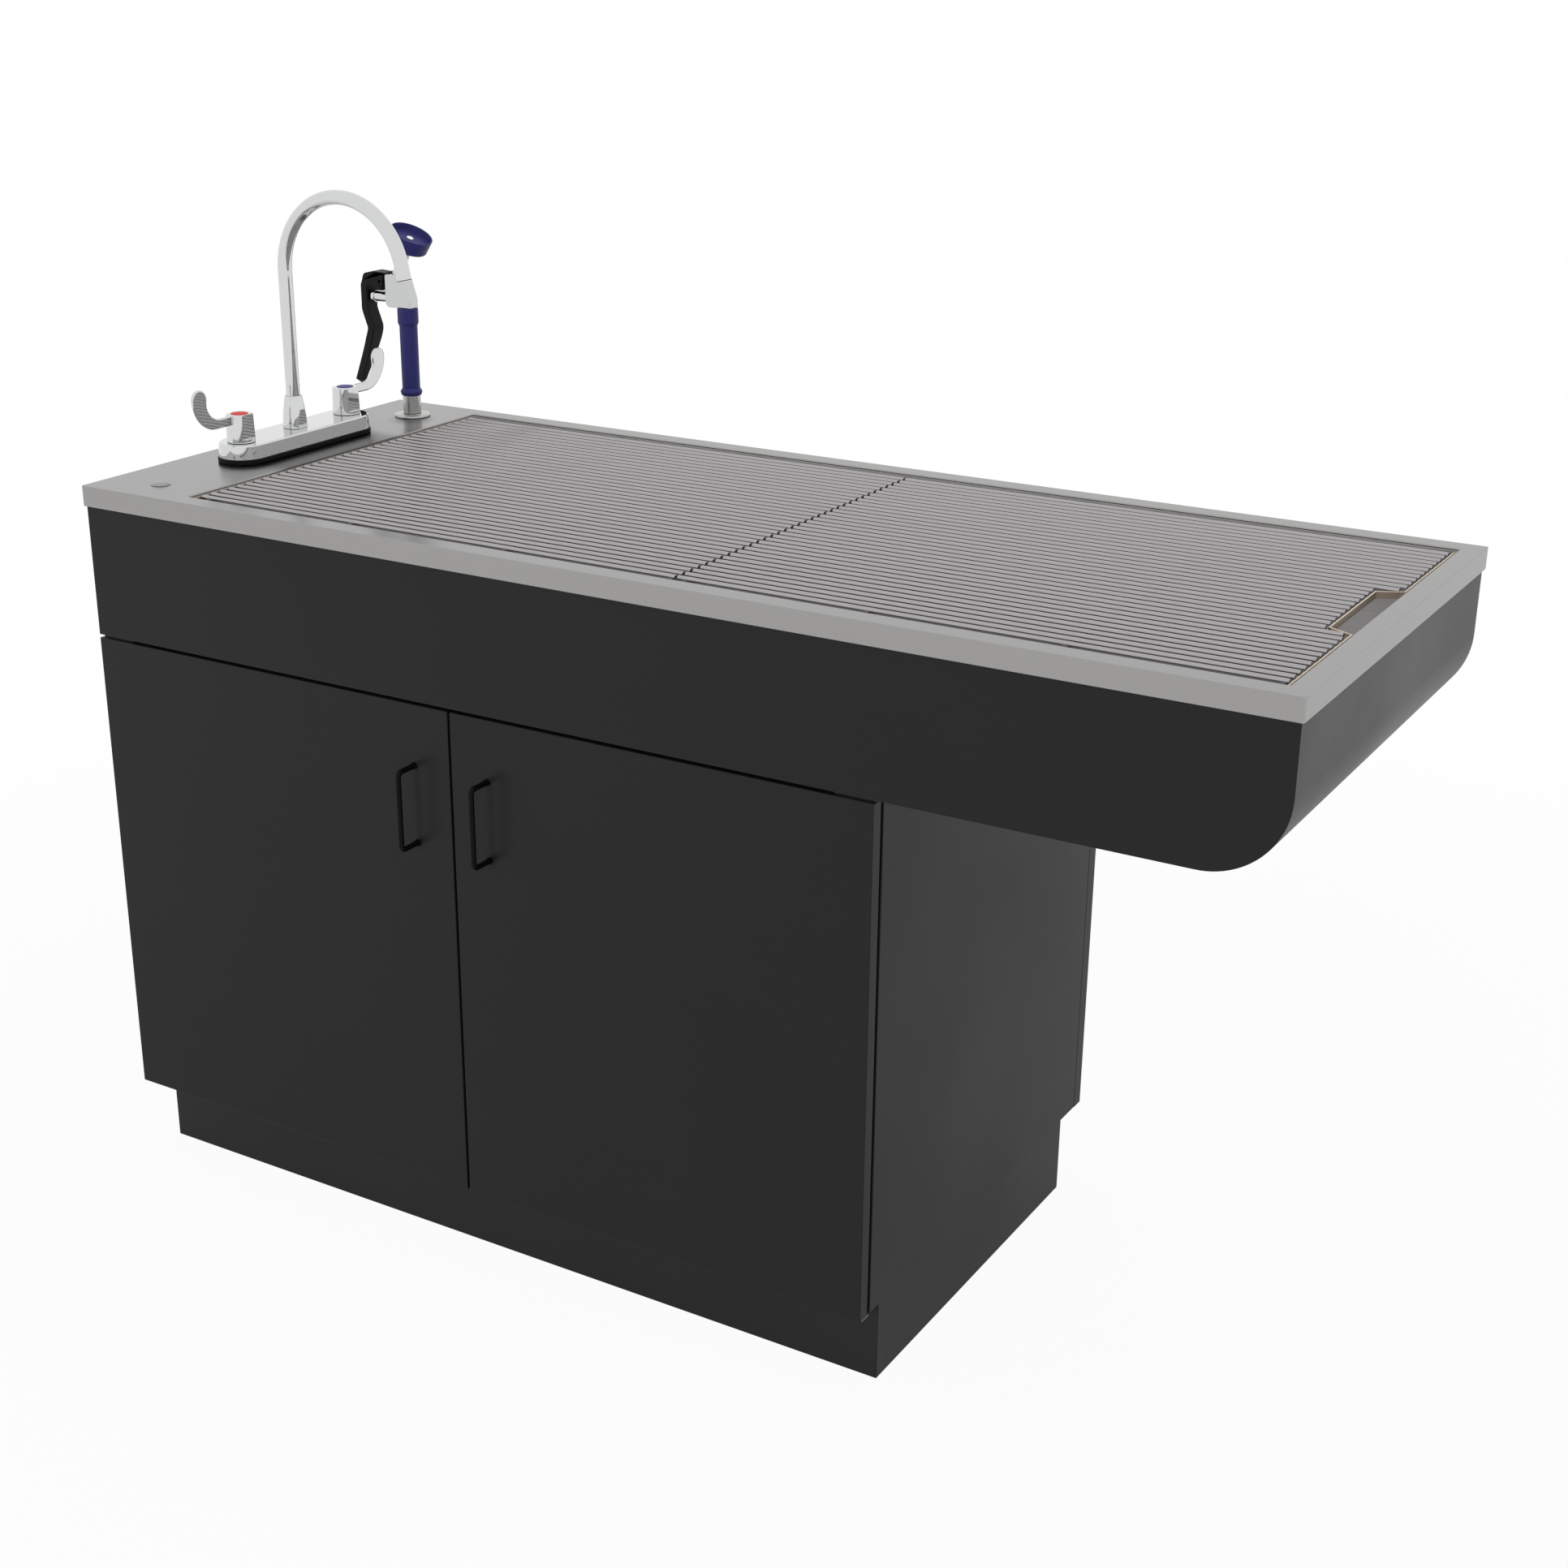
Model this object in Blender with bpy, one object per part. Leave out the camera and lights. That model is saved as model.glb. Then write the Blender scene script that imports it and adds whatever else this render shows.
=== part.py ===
"""Veterinary wet table: a stainless steel tub top with lift-out rod grates, carried past one end
of a two-door cabinet, with a deck faucet and a hand spray.

The origin lies on the floor under the middle of the top. +X runs along the length, away from the
faucet, +Y points to the back, away from the doors, and +Z points up. All sizes are in metres.
"""
import bpy
import bmesh
from math import asin, cos, pi, radians, sin, tan
from mathutils import Matrix, Vector

# Overall size and common clearances
TOP_LENGTH = 1.5240
TOP_WIDTH = 0.6096
TOP_HEIGHT = 0.9144
SEAT_GAP = 0.0003
CUT_OVERRUN = 0.0020

# Stainless steel top
TOP_SHEET = 0.0020
SKIRT_HEIGHT = 0.0254
RIM_SIDE = 0.0280
RIM_END = 0.0254
DECK_LENGTH = 0.1510

# Basin under the top
BASIN_SHEET = 0.0015
LEDGE_DEPTH = 0.0200
LEDGE_WIDTH = 0.0120
FLOOR_DEPTH_LEFT = 0.0450
FLOOR_DEPTH_RIGHT = 0.0500
SUMP_DEPTH = 0.0600
SUMP_SIZE = 0.0620
SUMP_SETBACK = 0.0080
FUNNEL_LENGTH = 0.1466

# Apron round the basin
APRON_CLEARANCE = 0.0010
APRON_DROP = 0.1626
APRON_RADIUS = 0.0889
WRAP_BOARD = 0.0127

# Cabinet
BOARD = 0.01905
CABINET_LENGTH = 1.0876
TOE_HEIGHT = 0.1048
TOE_INSET = 0.0508
TOE_END_INSET = 0.0038
RAIL_HEIGHT = 0.0190
RAIL_DEPTH = 0.0800

# Doors, pivot hinges and pulls
DOOR_TOP_GAP = 0.0040
DOOR_MEETING_GAP = 0.0032
DOOR_REAR_GAP = 0.0032
PIVOT_INSET = 0.00635
PIN_RADIUS = 0.0025
PIN_DEPTH = 0.0120
LEAF_THICKNESS = 0.0025
LEAF_RADIUS = 0.0055
LEAF_WIDTH = 0.0300
LEAF_TAIL_SHARE = 0.80
PULL_CENTRES = 0.0960
PULL_REACH = 0.0300
PULL_RADIUS = 0.0032
PULL_CORNER = 0.0060
PULL_OFFSET = 0.0521
PULL_TOP_DROP = 0.0738

# Rod grates
ROD_PITCH = 0.01524
ROD_RADIUS = 0.003175
ROD_TOP_DROP = 0.0006
ROD_WELD = 0.0005
ROD_LAP = 0.0020
BAR_WIDTH = 0.00635
BAR_INSET = 0.0075
BARS_PER_GRATE = 4
GRATE_END_GAP = 0.0050
GRATE_SPLIT_GAP = 0.0030
GRATE_SPLIT_FROM_LEFT = 0.8280
NOTCH_RODS_EACH_SIDE = 5
NOTCH_DEPTH = 0.0187
NOTCH_HALF_LENGTH = 0.0745
NOTCH_SPLAY = 0.0135

# Drain under the sump
PIPE_RADIUS = 0.0190
PIPE_WALL = 0.0018
PIPE_BEND = 0.0380
PIPE_HOLE_CLEARANCE = 0.0040
DRAIN_FLANGE_RADIUS = 0.0285
DRAIN_FLANGE_THICKNESS = 0.0020
DRAIN_TUBE_DROP = 0.0350
DRAIN_NUT_RADIUS = 0.0280
DRAIN_NUT_HEIGHT = 0.0100
SLIP_NUT_RADIUS = 0.0250
SLIP_NUT_HEIGHT = 0.0200
PIPE_RUN_ABOVE_BOARD = 0.0309
TRAP_FROM_CABINET_RIGHT = 0.1406
TRAP_INLET_DROP = 0.1664
TRAP_LEG = 0.0550
TRAP_BEND = 0.0445
TRAP_RISER = 0.0150

# Deck faucet
FAUCET_FROM_LEFT = 0.0750
FAUCET_CENTRES = 0.2032
GASKET_HEIGHT = 0.0060
GASKET_OUTSET = 0.0010
PLATE_LENGTH = 0.2600
PLATE_WIDTH = 0.0640
PLATE_HEIGHT = 0.0180
PLATE_WALL_HEIGHT = 0.0165
PLATE_DRAFT = 0.0012
PLATE_TAPER = 0.0026
SHANK_RADIUS = 0.0100
SHANK_DROP = 0.0480
SHANK_HOLE_CLEARANCE = 0.0050
SHANK_NUT_RADIUS = 0.0190
SHANK_NUT_HEIGHT = 0.0090
BONNET_RADIUS = 0.0125
BONNET_HEIGHT = 0.0006
STEM_RADIUS = 0.0045
STEM_HEIGHT = 0.0220

# Lever handles of the faucet
HUB_BOTTOM_RADIUS = 0.0180
HUB_TOP_RADIUS = 0.0170
HUB_HEIGHT = 0.0343
HUB_EDGE = 0.0012
HUB_FLAT = 0.0137
HUB_FOOT = 0.0035
CAP_RADIUS = 0.0109
CAP_THICKNESS = 0.0013
CAP_RECESS = 0.0009
BLADE_THICKNESS = 0.0040
BLADE_ROOT_HEIGHT = 0.0122
BLADE_TIP_WIDTH = 0.0250
BLADE_RUN = 0.0380
BLADE_BEND = 0.0315
BLADE_TIP_RISE = 0.0028

# Gooseneck spout
SPOUT_RADIUS = 0.0091
SPOUT_WALL = 0.0014
SPOUT_BEND = 0.0954
SPOUT_LEG_TOP = 0.2242
SPOUT_SWEEP = radians(168.0)
SPOUT_TAIL = 0.0185
SOCKET_HEIGHT = 0.0410
SOCKET_BOTTOM_RADIUS = 0.0158
SOCKET_WAIST_RADIUS = 0.0148
SOCKET_WAIST_HEIGHT = 0.0185
SOCKET_TOP_RADIUS = 0.0112
SPOUT_INSERTION = 0.0220

# Hand spray
SPRAY_FROM_LEFT = 0.0840
SPRAY_PLACE_SHARE = 0.45
SPRAY_FLANGE_RADIUS = 0.0247
SPRAY_FLANGE_HEIGHT = 0.0040
SPRAY_GUIDE_RADIUS = 0.0130
SPRAY_GUIDE_BORE = 0.0095
SPRAY_GUIDE_DROP = 0.0300
SPIGOT_RADIUS = 0.0080
SPIGOT_LENGTH = 0.0180
FERRULE_RADIUS = 0.0122
FERRULE_HEIGHT = 0.0240
GRIP_RADIUS = 0.0122
GRIP_BULGE_RADIUS = 0.0153
GRIP_BULGE_HEIGHT = 0.0095
GRIP_HEIGHT = 0.1170
COLLAR_RADIUS = 0.0141
COLLAR_HEIGHT = 0.0185
VALVE_WIDTH = 0.0180
VALVE_HEIGHT = 0.0435
VALVE_REACH = 0.0305
VALVE_NOSE = 0.0112
VALVE_NOSE_HEIGHT = 0.0114
VALVE_SHOULDER = 0.0010
VALVE_CHAMFER = 0.0038
NECK_RADIUS = 0.0075
NECK_LEAN = radians(26.0)
BUMPER_RADIUS = 0.0295
BUMPER_BASE_RADIUS = 0.0270
BUMPER_HEIGHT = 0.0200
BUMPER_WALL = 0.0017
BUMPER_DEPTH = 0.0080
BUMPER_OFFSET = 0.0040
BUMPER_ABOVE_GRIP = 0.0815
NOZZLE_RADIUS = 0.0047
NOZZLE_HEIGHT = 0.0020
PLUNGER_RADIUS = 0.0070
PLUNGER_HEAD_RADIUS = 0.0084
PLUNGER_HEAD_LENGTH = 0.0080
PLUNGER_DOME_RADIUS = 0.0120
PLUNGER_DROP = 0.0216
PLUNGER_REACH = 0.0295
PLUNGER_INSERTION = 0.0080
PLUNGER_TRAVEL = 0.0050
LEVER_WIDTH = 0.0220
LEVER_PIVOT_REACH = 0.0075
LEVER_PIVOT_DROP = 0.0100
LEVER_PIN_RADIUS = 0.0020
LEVER_ARM_HEIGHT = 0.0165
LEVER_ARM_RELIEF = 0.0035
LEVER_THICKNESS = 0.0112
LEVER_TOP_PLATE = 0.0016
LEVER_TOP_LAP = 0.0015
LEVER_CROWN = 0.0012
LEVER_LENGTH = 0.1520
LEVER_LINE_SHARES = ((0.000, 0.274), (0.002, 0.339), (0.039, 0.442), (0.056, 0.505), (0.029, 0.597),
                     (-0.022, 0.722), (-0.149, 1.000))
LEVER_TAPER_SHARE = 0.60
LEVER_TIP_WIDTH = 0.0090
EAR_WIDTH = 0.0080
EAR_RADIUS = 0.0050
EAR_DROP = 0.0135
EAR_TURN = radians(200.0)

# Plug in the spare deck hole
PLUG_FROM_LEFT = 0.0780
PLUG_FROM_FRONT = 0.0550
PLUG_RADIUS = 0.0125
PLUG_HEIGHT = 0.0030
PLUG_STEM_RADIUS = 0.0090
PLUG_STEM_DROP = 0.0080

# Facets of round shapes
ROD_SIDES = 6
NUT_SIDES = 6
WIRE_SIDES = 8
TUBE_SIDES = 14
TURNED_SIDES = 20
PIN_SIDES = 10
CORNER_STEPS = 5
WRAP_STEPS = 10
SPOUT_STEPS = 22
BEND_STEPS = 8
STADIUM_STEPS = 10
BLADE_STEPS = 7
SHARP_ANGLE = radians(35.0)

# Levels and edges worked out from the sizes
X_LEFT = -TOP_LENGTH / 2
X_RIGHT = TOP_LENGTH / 2
Y_FRONT = -TOP_WIDTH / 2
Y_BACK = TOP_WIDTH / 2
APRON_INSET = TOP_SHEET + APRON_CLEARANCE
APRON_LEFT = X_LEFT + APRON_INSET
APRON_RIGHT = X_RIGHT - APRON_INSET
APRON_FRONT = Y_FRONT + APRON_INSET
APRON_BACK = Y_BACK - APRON_INSET
APRON_BOTTOM = TOP_HEIGHT - SKIRT_HEIGHT - APRON_DROP
UNDER_TOP = TOP_HEIGHT - TOP_SHEET - SEAT_GAP
OPEN_LEFT = X_LEFT + DECK_LENGTH
OPEN_RIGHT = X_RIGHT - RIM_END
OPEN_FRONT = Y_FRONT + RIM_SIDE
OPEN_BACK = Y_BACK - RIM_SIDE
LEDGE_LEVEL = TOP_HEIGHT - LEDGE_DEPTH
SUMP_LEVEL = TOP_HEIGHT - SUMP_DEPTH
CABINET_LEFT = APRON_LEFT
CABINET_RIGHT = APRON_LEFT + CABINET_LENGTH
CABINET_TOP = APRON_BOTTOM - SEAT_GAP
CARCASS_FRONT = APRON_FRONT + BOARD + DOOR_REAR_GAP
CARCASS_BACK = APRON_BACK - BOARD - SEAT_GAP
DOOR_TOP = APRON_BOTTOM - DOOR_TOP_GAP
DOOR_MEETING = (CABINET_LEFT + CABINET_RIGHT) / 2
SUMP_RIGHT = OPEN_RIGHT - LEDGE_WIDTH - SUMP_SETBACK
DRAIN_X = SUMP_RIGHT - SUMP_SIZE / 2
DRAIN_TUBE_END = SUMP_LEVEL - DRAIN_TUBE_DROP
PIPE_RUN_LEVEL = APRON_BOTTOM + WRAP_BOARD + PIPE_RUN_ABOVE_BOARD
TRAP_X = CABINET_RIGHT - TRAP_FROM_CABINET_RIGHT
TRAP_INLET_LEVEL = APRON_BOTTOM - TRAP_INLET_DROP
TRAP_RISER_TOP = TRAP_INLET_LEVEL - TRAP_LEG + TRAP_RISER
TRAP_ARM_LEVEL = TRAP_RISER_TOP + SLIP_NUT_HEIGHT + PIPE_BEND
FAUCET_X = X_LEFT + FAUCET_FROM_LEFT
PLATE_TOP = TOP_HEIGHT + GASKET_HEIGHT + PLATE_HEIGHT + 2 * SEAT_GAP
SPOUT_LEG_LEVEL = TOP_HEIGHT + SPOUT_LEG_TOP
SPRAY_X = X_LEFT + SPRAY_FROM_LEFT
BLADE_TIP_Y = FAUCET_CENTRES / 2 + BLADE_RUN + BLADE_BEND + BLADE_TIP_WIDTH / 2
SPRAY_Y = BLADE_TIP_Y + SPRAY_PLACE_SHARE * (APRON_BACK - BOARD - BLADE_TIP_Y)
FERRULE_BASE = TOP_HEIGHT + SPRAY_FLANGE_HEIGHT + 2 * SEAT_GAP
GRIP_BASE = FERRULE_BASE + FERRULE_HEIGHT + SEAT_GAP
GRIP_TOP = GRIP_BASE + GRIP_HEIGHT
VALVE_BASE = GRIP_TOP + SEAT_GAP
VALVE_TOP = VALVE_BASE + VALVE_HEIGHT
LEVER_PIVOT_X = SPRAY_X - VALVE_REACH - LEVER_PIVOT_REACH
LEVER_PIVOT_Z = VALVE_TOP - LEVER_PIVOT_DROP
PLUNGER_LEVEL = LEVER_PIVOT_Z - PLUNGER_DROP
PLUNGER_TIP_X = SPRAY_X - VALVE_REACH - PLUNGER_REACH


def clear_scene():
    """Remove every object of the start-up scene."""
    for leftover in list(bpy.data.objects):
        bpy.data.objects.remove(leftover, do_unlink=True)


def make_material(name, color, roughness, metallic):
    """A plain Principled material."""
    made = bpy.data.materials.new(name)
    made.use_nodes = True
    shader = made.node_tree.nodes["Principled BSDF"]
    shader.inputs["Base Color"].default_value = (*color, 1.0)
    shader.inputs["Roughness"].default_value = roughness
    shader.inputs["Metallic"].default_value = metallic
    return made


def make_object(name, shape, material):
    """Turn a bmesh into a named object, smooth across its shallow angles."""
    bmesh.ops.recalc_face_normals(shape, faces=shape.faces)
    mesh = bpy.data.meshes.new(name)
    shape.to_mesh(mesh)
    shape.free()
    mesh.materials.append(material)
    mesh.shade_smooth()
    mesh.set_sharp_from_angle(angle=SHARP_ANGLE)
    made = bpy.data.objects.new(name, mesh)
    bpy.context.scene.collection.objects.link(made)
    return made


def add_empty(name, place):
    """An empty that marks a joint's axis."""
    made = bpy.data.objects.new(name, None)
    made.location = place
    bpy.context.scene.collection.objects.link(made)
    return made


def hang_on(pieces, joint):
    """Parent pieces, modelled in world coordinates, to the empty on their joint's axis."""
    for piece in pieces:
        piece.parent = joint
        piece.location = -joint.location


def use_tool(target, tool, operation):
    """Cut a tool object out of the target, or fuse it to the target, and hide the tool."""
    change = target.modifiers.new(operation.title() + " " + tool.name, "BOOLEAN")
    change.operation = operation
    change.solver = "EXACT"
    change.object = tool
    tool.hide_render = True
    tool.display_type = "WIRE"
    return tool


def cut(target, tool):
    """Take the tool's volume away from the target."""
    return use_tool(target, tool, "DIFFERENCE")


def fuse(target, tool):
    """Weld the tool's volume to the target."""
    return use_tool(target, tool, "UNION")


def add_box_faces(shape, low, high):
    """Add one box between two corners to a bmesh."""
    corners = []
    for x in (low[0], high[0]):
        for y in (low[1], high[1]):
            for z in (low[2], high[2]):
                corners.append(shape.verts.new((x, y, z)))
    for ring in ((0, 1, 3, 2), (4, 6, 7, 5), (0, 4, 5, 1), (2, 3, 7, 6), (0, 2, 6, 4), (1, 5, 7, 3)):
        shape.faces.new([corners[index] for index in ring])


def make_box(name, low, high, material):
    """A box between two corners."""
    shape = bmesh.new()
    add_box_faces(shape, low, high)
    return make_object(name, shape, material)


PLANE_NORMALS = {"XY": Vector((0, 0, 1)), "XZ": Vector((0, 1, 0)), "YZ": Vector((1, 0, 0))}


def lift(plane, point, depth):
    """Place a point of an outline in space. The plane is named by the outline's own two axes."""
    u, v = point
    if plane == "XY":
        return Vector((u, v, depth))
    if plane == "XZ":
        return Vector((u, depth, v))
    return Vector((depth, u, v))


def add_prism_faces(shape, plane, outline, start, end):
    """Add an outline, extruded square to its plane from start to end, to a bmesh."""
    near = [shape.verts.new(lift(plane, point, start)) for point in outline]
    far = [shape.verts.new(lift(plane, point, end)) for point in outline]
    shape.faces.new(near)
    shape.faces.new(list(reversed(far)))
    for index in range(len(outline)):
        following = (index + 1) % len(outline)
        shape.faces.new((near[index], near[following], far[following], far[index]))


def make_prism(name, plane, outline, start, end, material):
    """A solid with one outline all along its depth."""
    shape = bmesh.new()
    add_prism_faces(shape, plane, outline, start, end)
    return make_object(name, shape, material)


def arc(centre, radius, start, end, steps):
    """Points along an arc, both ends included, for angles in radians."""
    points = []
    for step in range(steps + 1):
        angle = start + (end - start) * step / steps
        points.append((centre[0] + radius * cos(angle), centre[1] + radius * sin(angle)))
    return points


def strip_outline(line, width):
    """The outline of a flat bar of one width along a bent centre line, with mitred bends."""
    sides = ([], [])
    for index, point in enumerate(line):
        here = Vector(point)
        before = here - Vector(line[index - 1]) if index else None
        after = Vector(line[index + 1]) - here if index < len(line) - 1 else None
        ways = [way.normalized() for way in (before, after) if way is not None]
        along = sum(ways, Vector((0, 0))).normalized()
        across = Vector((-along.y, along.x))
        square = Vector((-ways[0].y, ways[0].x))
        reach = across * (width / 2 / across.dot(square))
        sides[0].append(tuple(here + reach))
        sides[1].append(tuple(here - reach))
    return sides[0] + sides[1][::-1]


def make_turned(name, profile, place, sides, material, closed=False, lean=0.0):
    """Turn a profile of (radius, height) pairs about a vertical axis through a place. A profile
    that starts and ends on the axis is a solid, and a closed one is a ring. Lean tips the axis
    towards +X."""
    shape = bmesh.new()
    turn = Matrix.Translation(place) @ Matrix.Rotation(lean, 4, "Y")
    rings = []
    for radius, height in profile:
        if radius == 0:
            rings.append([shape.verts.new(turn @ Vector((0, 0, height)))])
            continue
        ring = []
        for side in range(sides):
            angle = 2 * pi * side / sides
            ring.append(shape.verts.new(turn @ Vector((radius * cos(angle), radius * sin(angle), height))))
        rings.append(ring)
    pairs = list(zip(rings, rings[1:]))
    if closed:
        pairs.append((rings[-1], rings[0]))
    for lower, upper in pairs:
        for side in range(sides):
            following = (side + 1) % sides
            corners = [lower[side % len(lower)], lower[following % len(lower)],
                       upper[following % len(upper)], upper[side % len(upper)]]
            shape.faces.new(list(dict.fromkeys(corners)))
    return make_object(name, shape, material)


def make_cylinder(name, axis, centre, radius, start, end, sides, material):
    """A cylinder along a world axis. The centre gives its two other coordinates in order."""
    plane = {"X": "YZ", "Y": "XZ", "Z": "XY"}[axis]
    outline = arc(centre, radius, 0, 2 * pi, sides)[:-1]
    return make_prism(name, plane, outline, start, end, material)


def make_pipe(name, plane, line, depth, radius, bore, sides, material):
    """A round bar or tube along a flat line. A bore of None makes a solid bar."""
    shape = bmesh.new()
    flat_normal = PLANE_NORMALS[plane]
    route = [lift(plane, point, depth) for point in line]
    walls = []
    for wall_radius in [radius] if bore is None else [radius, bore]:
        rings = []
        for index, here in enumerate(route):
            before = route[max(index - 1, 0)]
            after = route[min(index + 1, len(route) - 1)]
            side_way = (after - before).normalized().cross(flat_normal)
            ring = []
            for side in range(sides):
                angle = 2 * pi * (side + 0.5) / sides
                reach = flat_normal * cos(angle) + side_way * sin(angle)
                ring.append(shape.verts.new(here + reach * wall_radius))
            rings.append(ring)
        walls.append(rings)
        for one, other in zip(rings, rings[1:]):
            for side in range(sides):
                following = (side + 1) % sides
                shape.faces.new((one[side], one[following], other[following], other[side]))
    for end in (0, -1):
        if bore is None:
            shape.faces.new(walls[0][end])
            continue
        for side in range(sides):
            following = (side + 1) % sides
            shape.faces.new((walls[0][end][side], walls[0][end][following],
                             walls[1][end][following], walls[1][end][side]))
    return make_object(name, shape, material)


def rounded_line(corners, radii, steps):
    """A bent line: straight runs between corners, with each inner corner rounded by an arc."""
    line = [tuple(corners[0])]
    for index, radius in enumerate(radii, start=1):
        corner = Vector(corners[index])
        arriving = (corner - Vector(corners[index - 1])).normalized()
        leaving = (Vector(corners[index + 1]) - corner).normalized()
        half_turn = arriving.angle(leaving) / 2
        setback = radius * tan(half_turn)
        centre = corner + (leaving - arriving).normalized() * (radius / cos(half_turn))
        first = corner - arriving * setback - centre
        for step in range(steps + 1):
            share = step / steps
            angle = 2 * half_turn * share
            swing = cos(angle) * first + sin(angle) * radius * arriving
            line.append(tuple(centre + swing))
    line.append(tuple(corners[-1]))
    return line


def build_plinth(paint):
    """The recessed base: four boards and a middle rail, standing on the floor."""
    left = CABINET_LEFT + TOE_END_INSET
    right = CABINET_RIGHT - TOE_END_INSET
    front = APRON_FRONT + TOE_INSET
    back = APRON_BACK - TOE_INSET
    top = TOE_HEIGHT - SEAT_GAP
    inner_front = front + BOARD + SEAT_GAP
    inner_back = back - BOARD - SEAT_GAP
    make_box("plinth_front", (left, front, 0), (right, front + BOARD, top), paint)
    make_box("plinth_back", (left, back - BOARD, 0), (right, back, top), paint)
    make_box("plinth_left", (left, inner_front, 0), (left + BOARD, inner_back, top), paint)
    make_box("plinth_right", (right - BOARD, inner_front, 0), (right, inner_back, top), paint)
    make_box("plinth_rail", (-BOARD / 2, inner_front, 0), (BOARD / 2, inner_back, top), paint)


def build_cabinet(paint):
    """The carcass: sides, floor, back and two top rails."""
    inner_left = CABINET_LEFT + BOARD + SEAT_GAP
    inner_right = CABINET_RIGHT - BOARD - SEAT_GAP
    make_box("cabinet_left_side", (CABINET_LEFT, CARCASS_FRONT, TOE_HEIGHT),
             (CABINET_LEFT + BOARD, CARCASS_BACK, CABINET_TOP), paint)
    make_box("cabinet_right_side", (CABINET_RIGHT - BOARD, CARCASS_FRONT, TOE_HEIGHT),
             (CABINET_RIGHT, CARCASS_BACK, CABINET_TOP), paint)
    make_box("cabinet_floor", (inner_left, CARCASS_FRONT, TOE_HEIGHT),
             (inner_right, CARCASS_BACK, TOE_HEIGHT + BOARD), paint)
    back = make_box("cabinet_back", (CABINET_LEFT, APRON_BACK - BOARD, TOE_HEIGHT),
                    (CABINET_RIGHT, APRON_BACK, CABINET_TOP), paint)
    cut(back, make_cylinder("back_pipe_hole", "Y", (TRAP_X, TRAP_ARM_LEVEL),
                            PIPE_RADIUS + PIPE_HOLE_CLEARANCE, APRON_BACK - BOARD - CUT_OVERRUN,
                            APRON_BACK + CUT_OVERRUN, TURNED_SIDES, paint))
    make_box("top_rail_front", (inner_left, CARCASS_FRONT, DOOR_TOP - RAIL_HEIGHT),
             (inner_right, CARCASS_FRONT + RAIL_DEPTH, DOOR_TOP), paint)
    make_box("top_rail_back", (inner_left, CARCASS_BACK - RAIL_DEPTH, CABINET_TOP - RAIL_HEIGHT),
             (inner_right, CARCASS_BACK, CABINET_TOP), paint)


def build_hinge_leaf(name, outer, side, level, pin_way, steel):
    """A flat leaf over or under a door's outer corner, with the pin that the door turns on. Side
    is +1 where the cabinet lies towards +X of the outer face, and pin_way is the pin's direction."""
    pivot_x = outer + side * PIVOT_INSET
    pivot_y = CARCASS_FRONT - DOOR_REAR_GAP - PIVOT_INSET
    tail_start = outer + side * (BOARD + SEAT_GAP)
    tail_end = tail_start + side * LEAF_WIDTH
    front = pivot_y - LEAF_RADIUS
    tail_back = CARCASS_FRONT + (TOE_INSET - BOARD - DOOR_REAR_GAP) * LEAF_TAIL_SHARE
    outline = [(pivot_x - side * LEAF_RADIUS, front), (tail_end, front), (tail_end, tail_back),
               (tail_start, tail_back), (tail_start, CARCASS_FRONT - SEAT_GAP),
               (pivot_x - side * LEAF_RADIUS, CARCASS_FRONT - SEAT_GAP)]
    leaf = make_prism(name, "XY", outline, level, level - pin_way * LEAF_THICKNESS, steel)
    pin_start = level - pin_way * LEAF_THICKNESS / 2
    pin_end = level + pin_way * (PIN_DEPTH + SEAT_GAP)
    fuse(leaf, make_cylinder(name + "_pin", "Z", (pivot_x, pivot_y), PIN_RADIUS,
                             pin_start, pin_end, PIN_SIDES, steel))
    return pivot_x, pivot_y


def build_door(name, outer, side, paint, steel, wire):
    """A door with its pull, hung on two pivot hinges at its outer corners."""
    pivot_x, pivot_y = build_hinge_leaf(name + "_hinge_top", outer, side, DOOR_TOP + SEAT_GAP, -1, steel)
    build_hinge_leaf(name + "_hinge_bottom", outer, side, TOE_HEIGHT - SEAT_GAP, 1, steel)
    free = DOOR_MEETING - side * DOOR_MEETING_GAP / 2
    door = make_box(name, (min(outer, free), APRON_FRONT, TOE_HEIGHT),
                    (max(outer, free), APRON_FRONT + BOARD, DOOR_TOP), paint)
    pieces = [door]
    for hole, inner, outside in (("_top_hole", DOOR_TOP - PIN_DEPTH, DOOR_TOP + CUT_OVERRUN),
                                 ("_bottom_hole", TOE_HEIGHT - CUT_OVERRUN, TOE_HEIGHT + PIN_DEPTH)):
        depth_end = inner - SEAT_GAP if hole == "_top_hole" else inner
        outside_end = outside + SEAT_GAP if hole == "_bottom_hole" else outside
        pieces.append(cut(door, make_cylinder(name + hole, "Z", (pivot_x, pivot_y), PIN_RADIUS + SEAT_GAP,
                                              depth_end, outside_end, PIN_SIDES, paint)))
    pull_x = DOOR_MEETING - side * PULL_OFFSET
    pull_top = DOOR_TOP - PULL_TOP_DROP
    foot = APRON_FRONT - SEAT_GAP
    grip = foot - PULL_REACH
    corners = [(foot, pull_top), (grip, pull_top), (grip, pull_top - PULL_CENTRES),
               (foot, pull_top - PULL_CENTRES)]
    line = rounded_line(corners, (PULL_CORNER, PULL_CORNER), CORNER_STEPS)
    pieces.append(make_pipe(name + "_pull", "YZ", line, pull_x, PULL_RADIUS, None, WIRE_SIDES, wire))
    hang_on(pieces, add_empty(name + "_axis", Vector((pivot_x, pivot_y, (DOOR_TOP + TOE_HEIGHT) / 2))))


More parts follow.
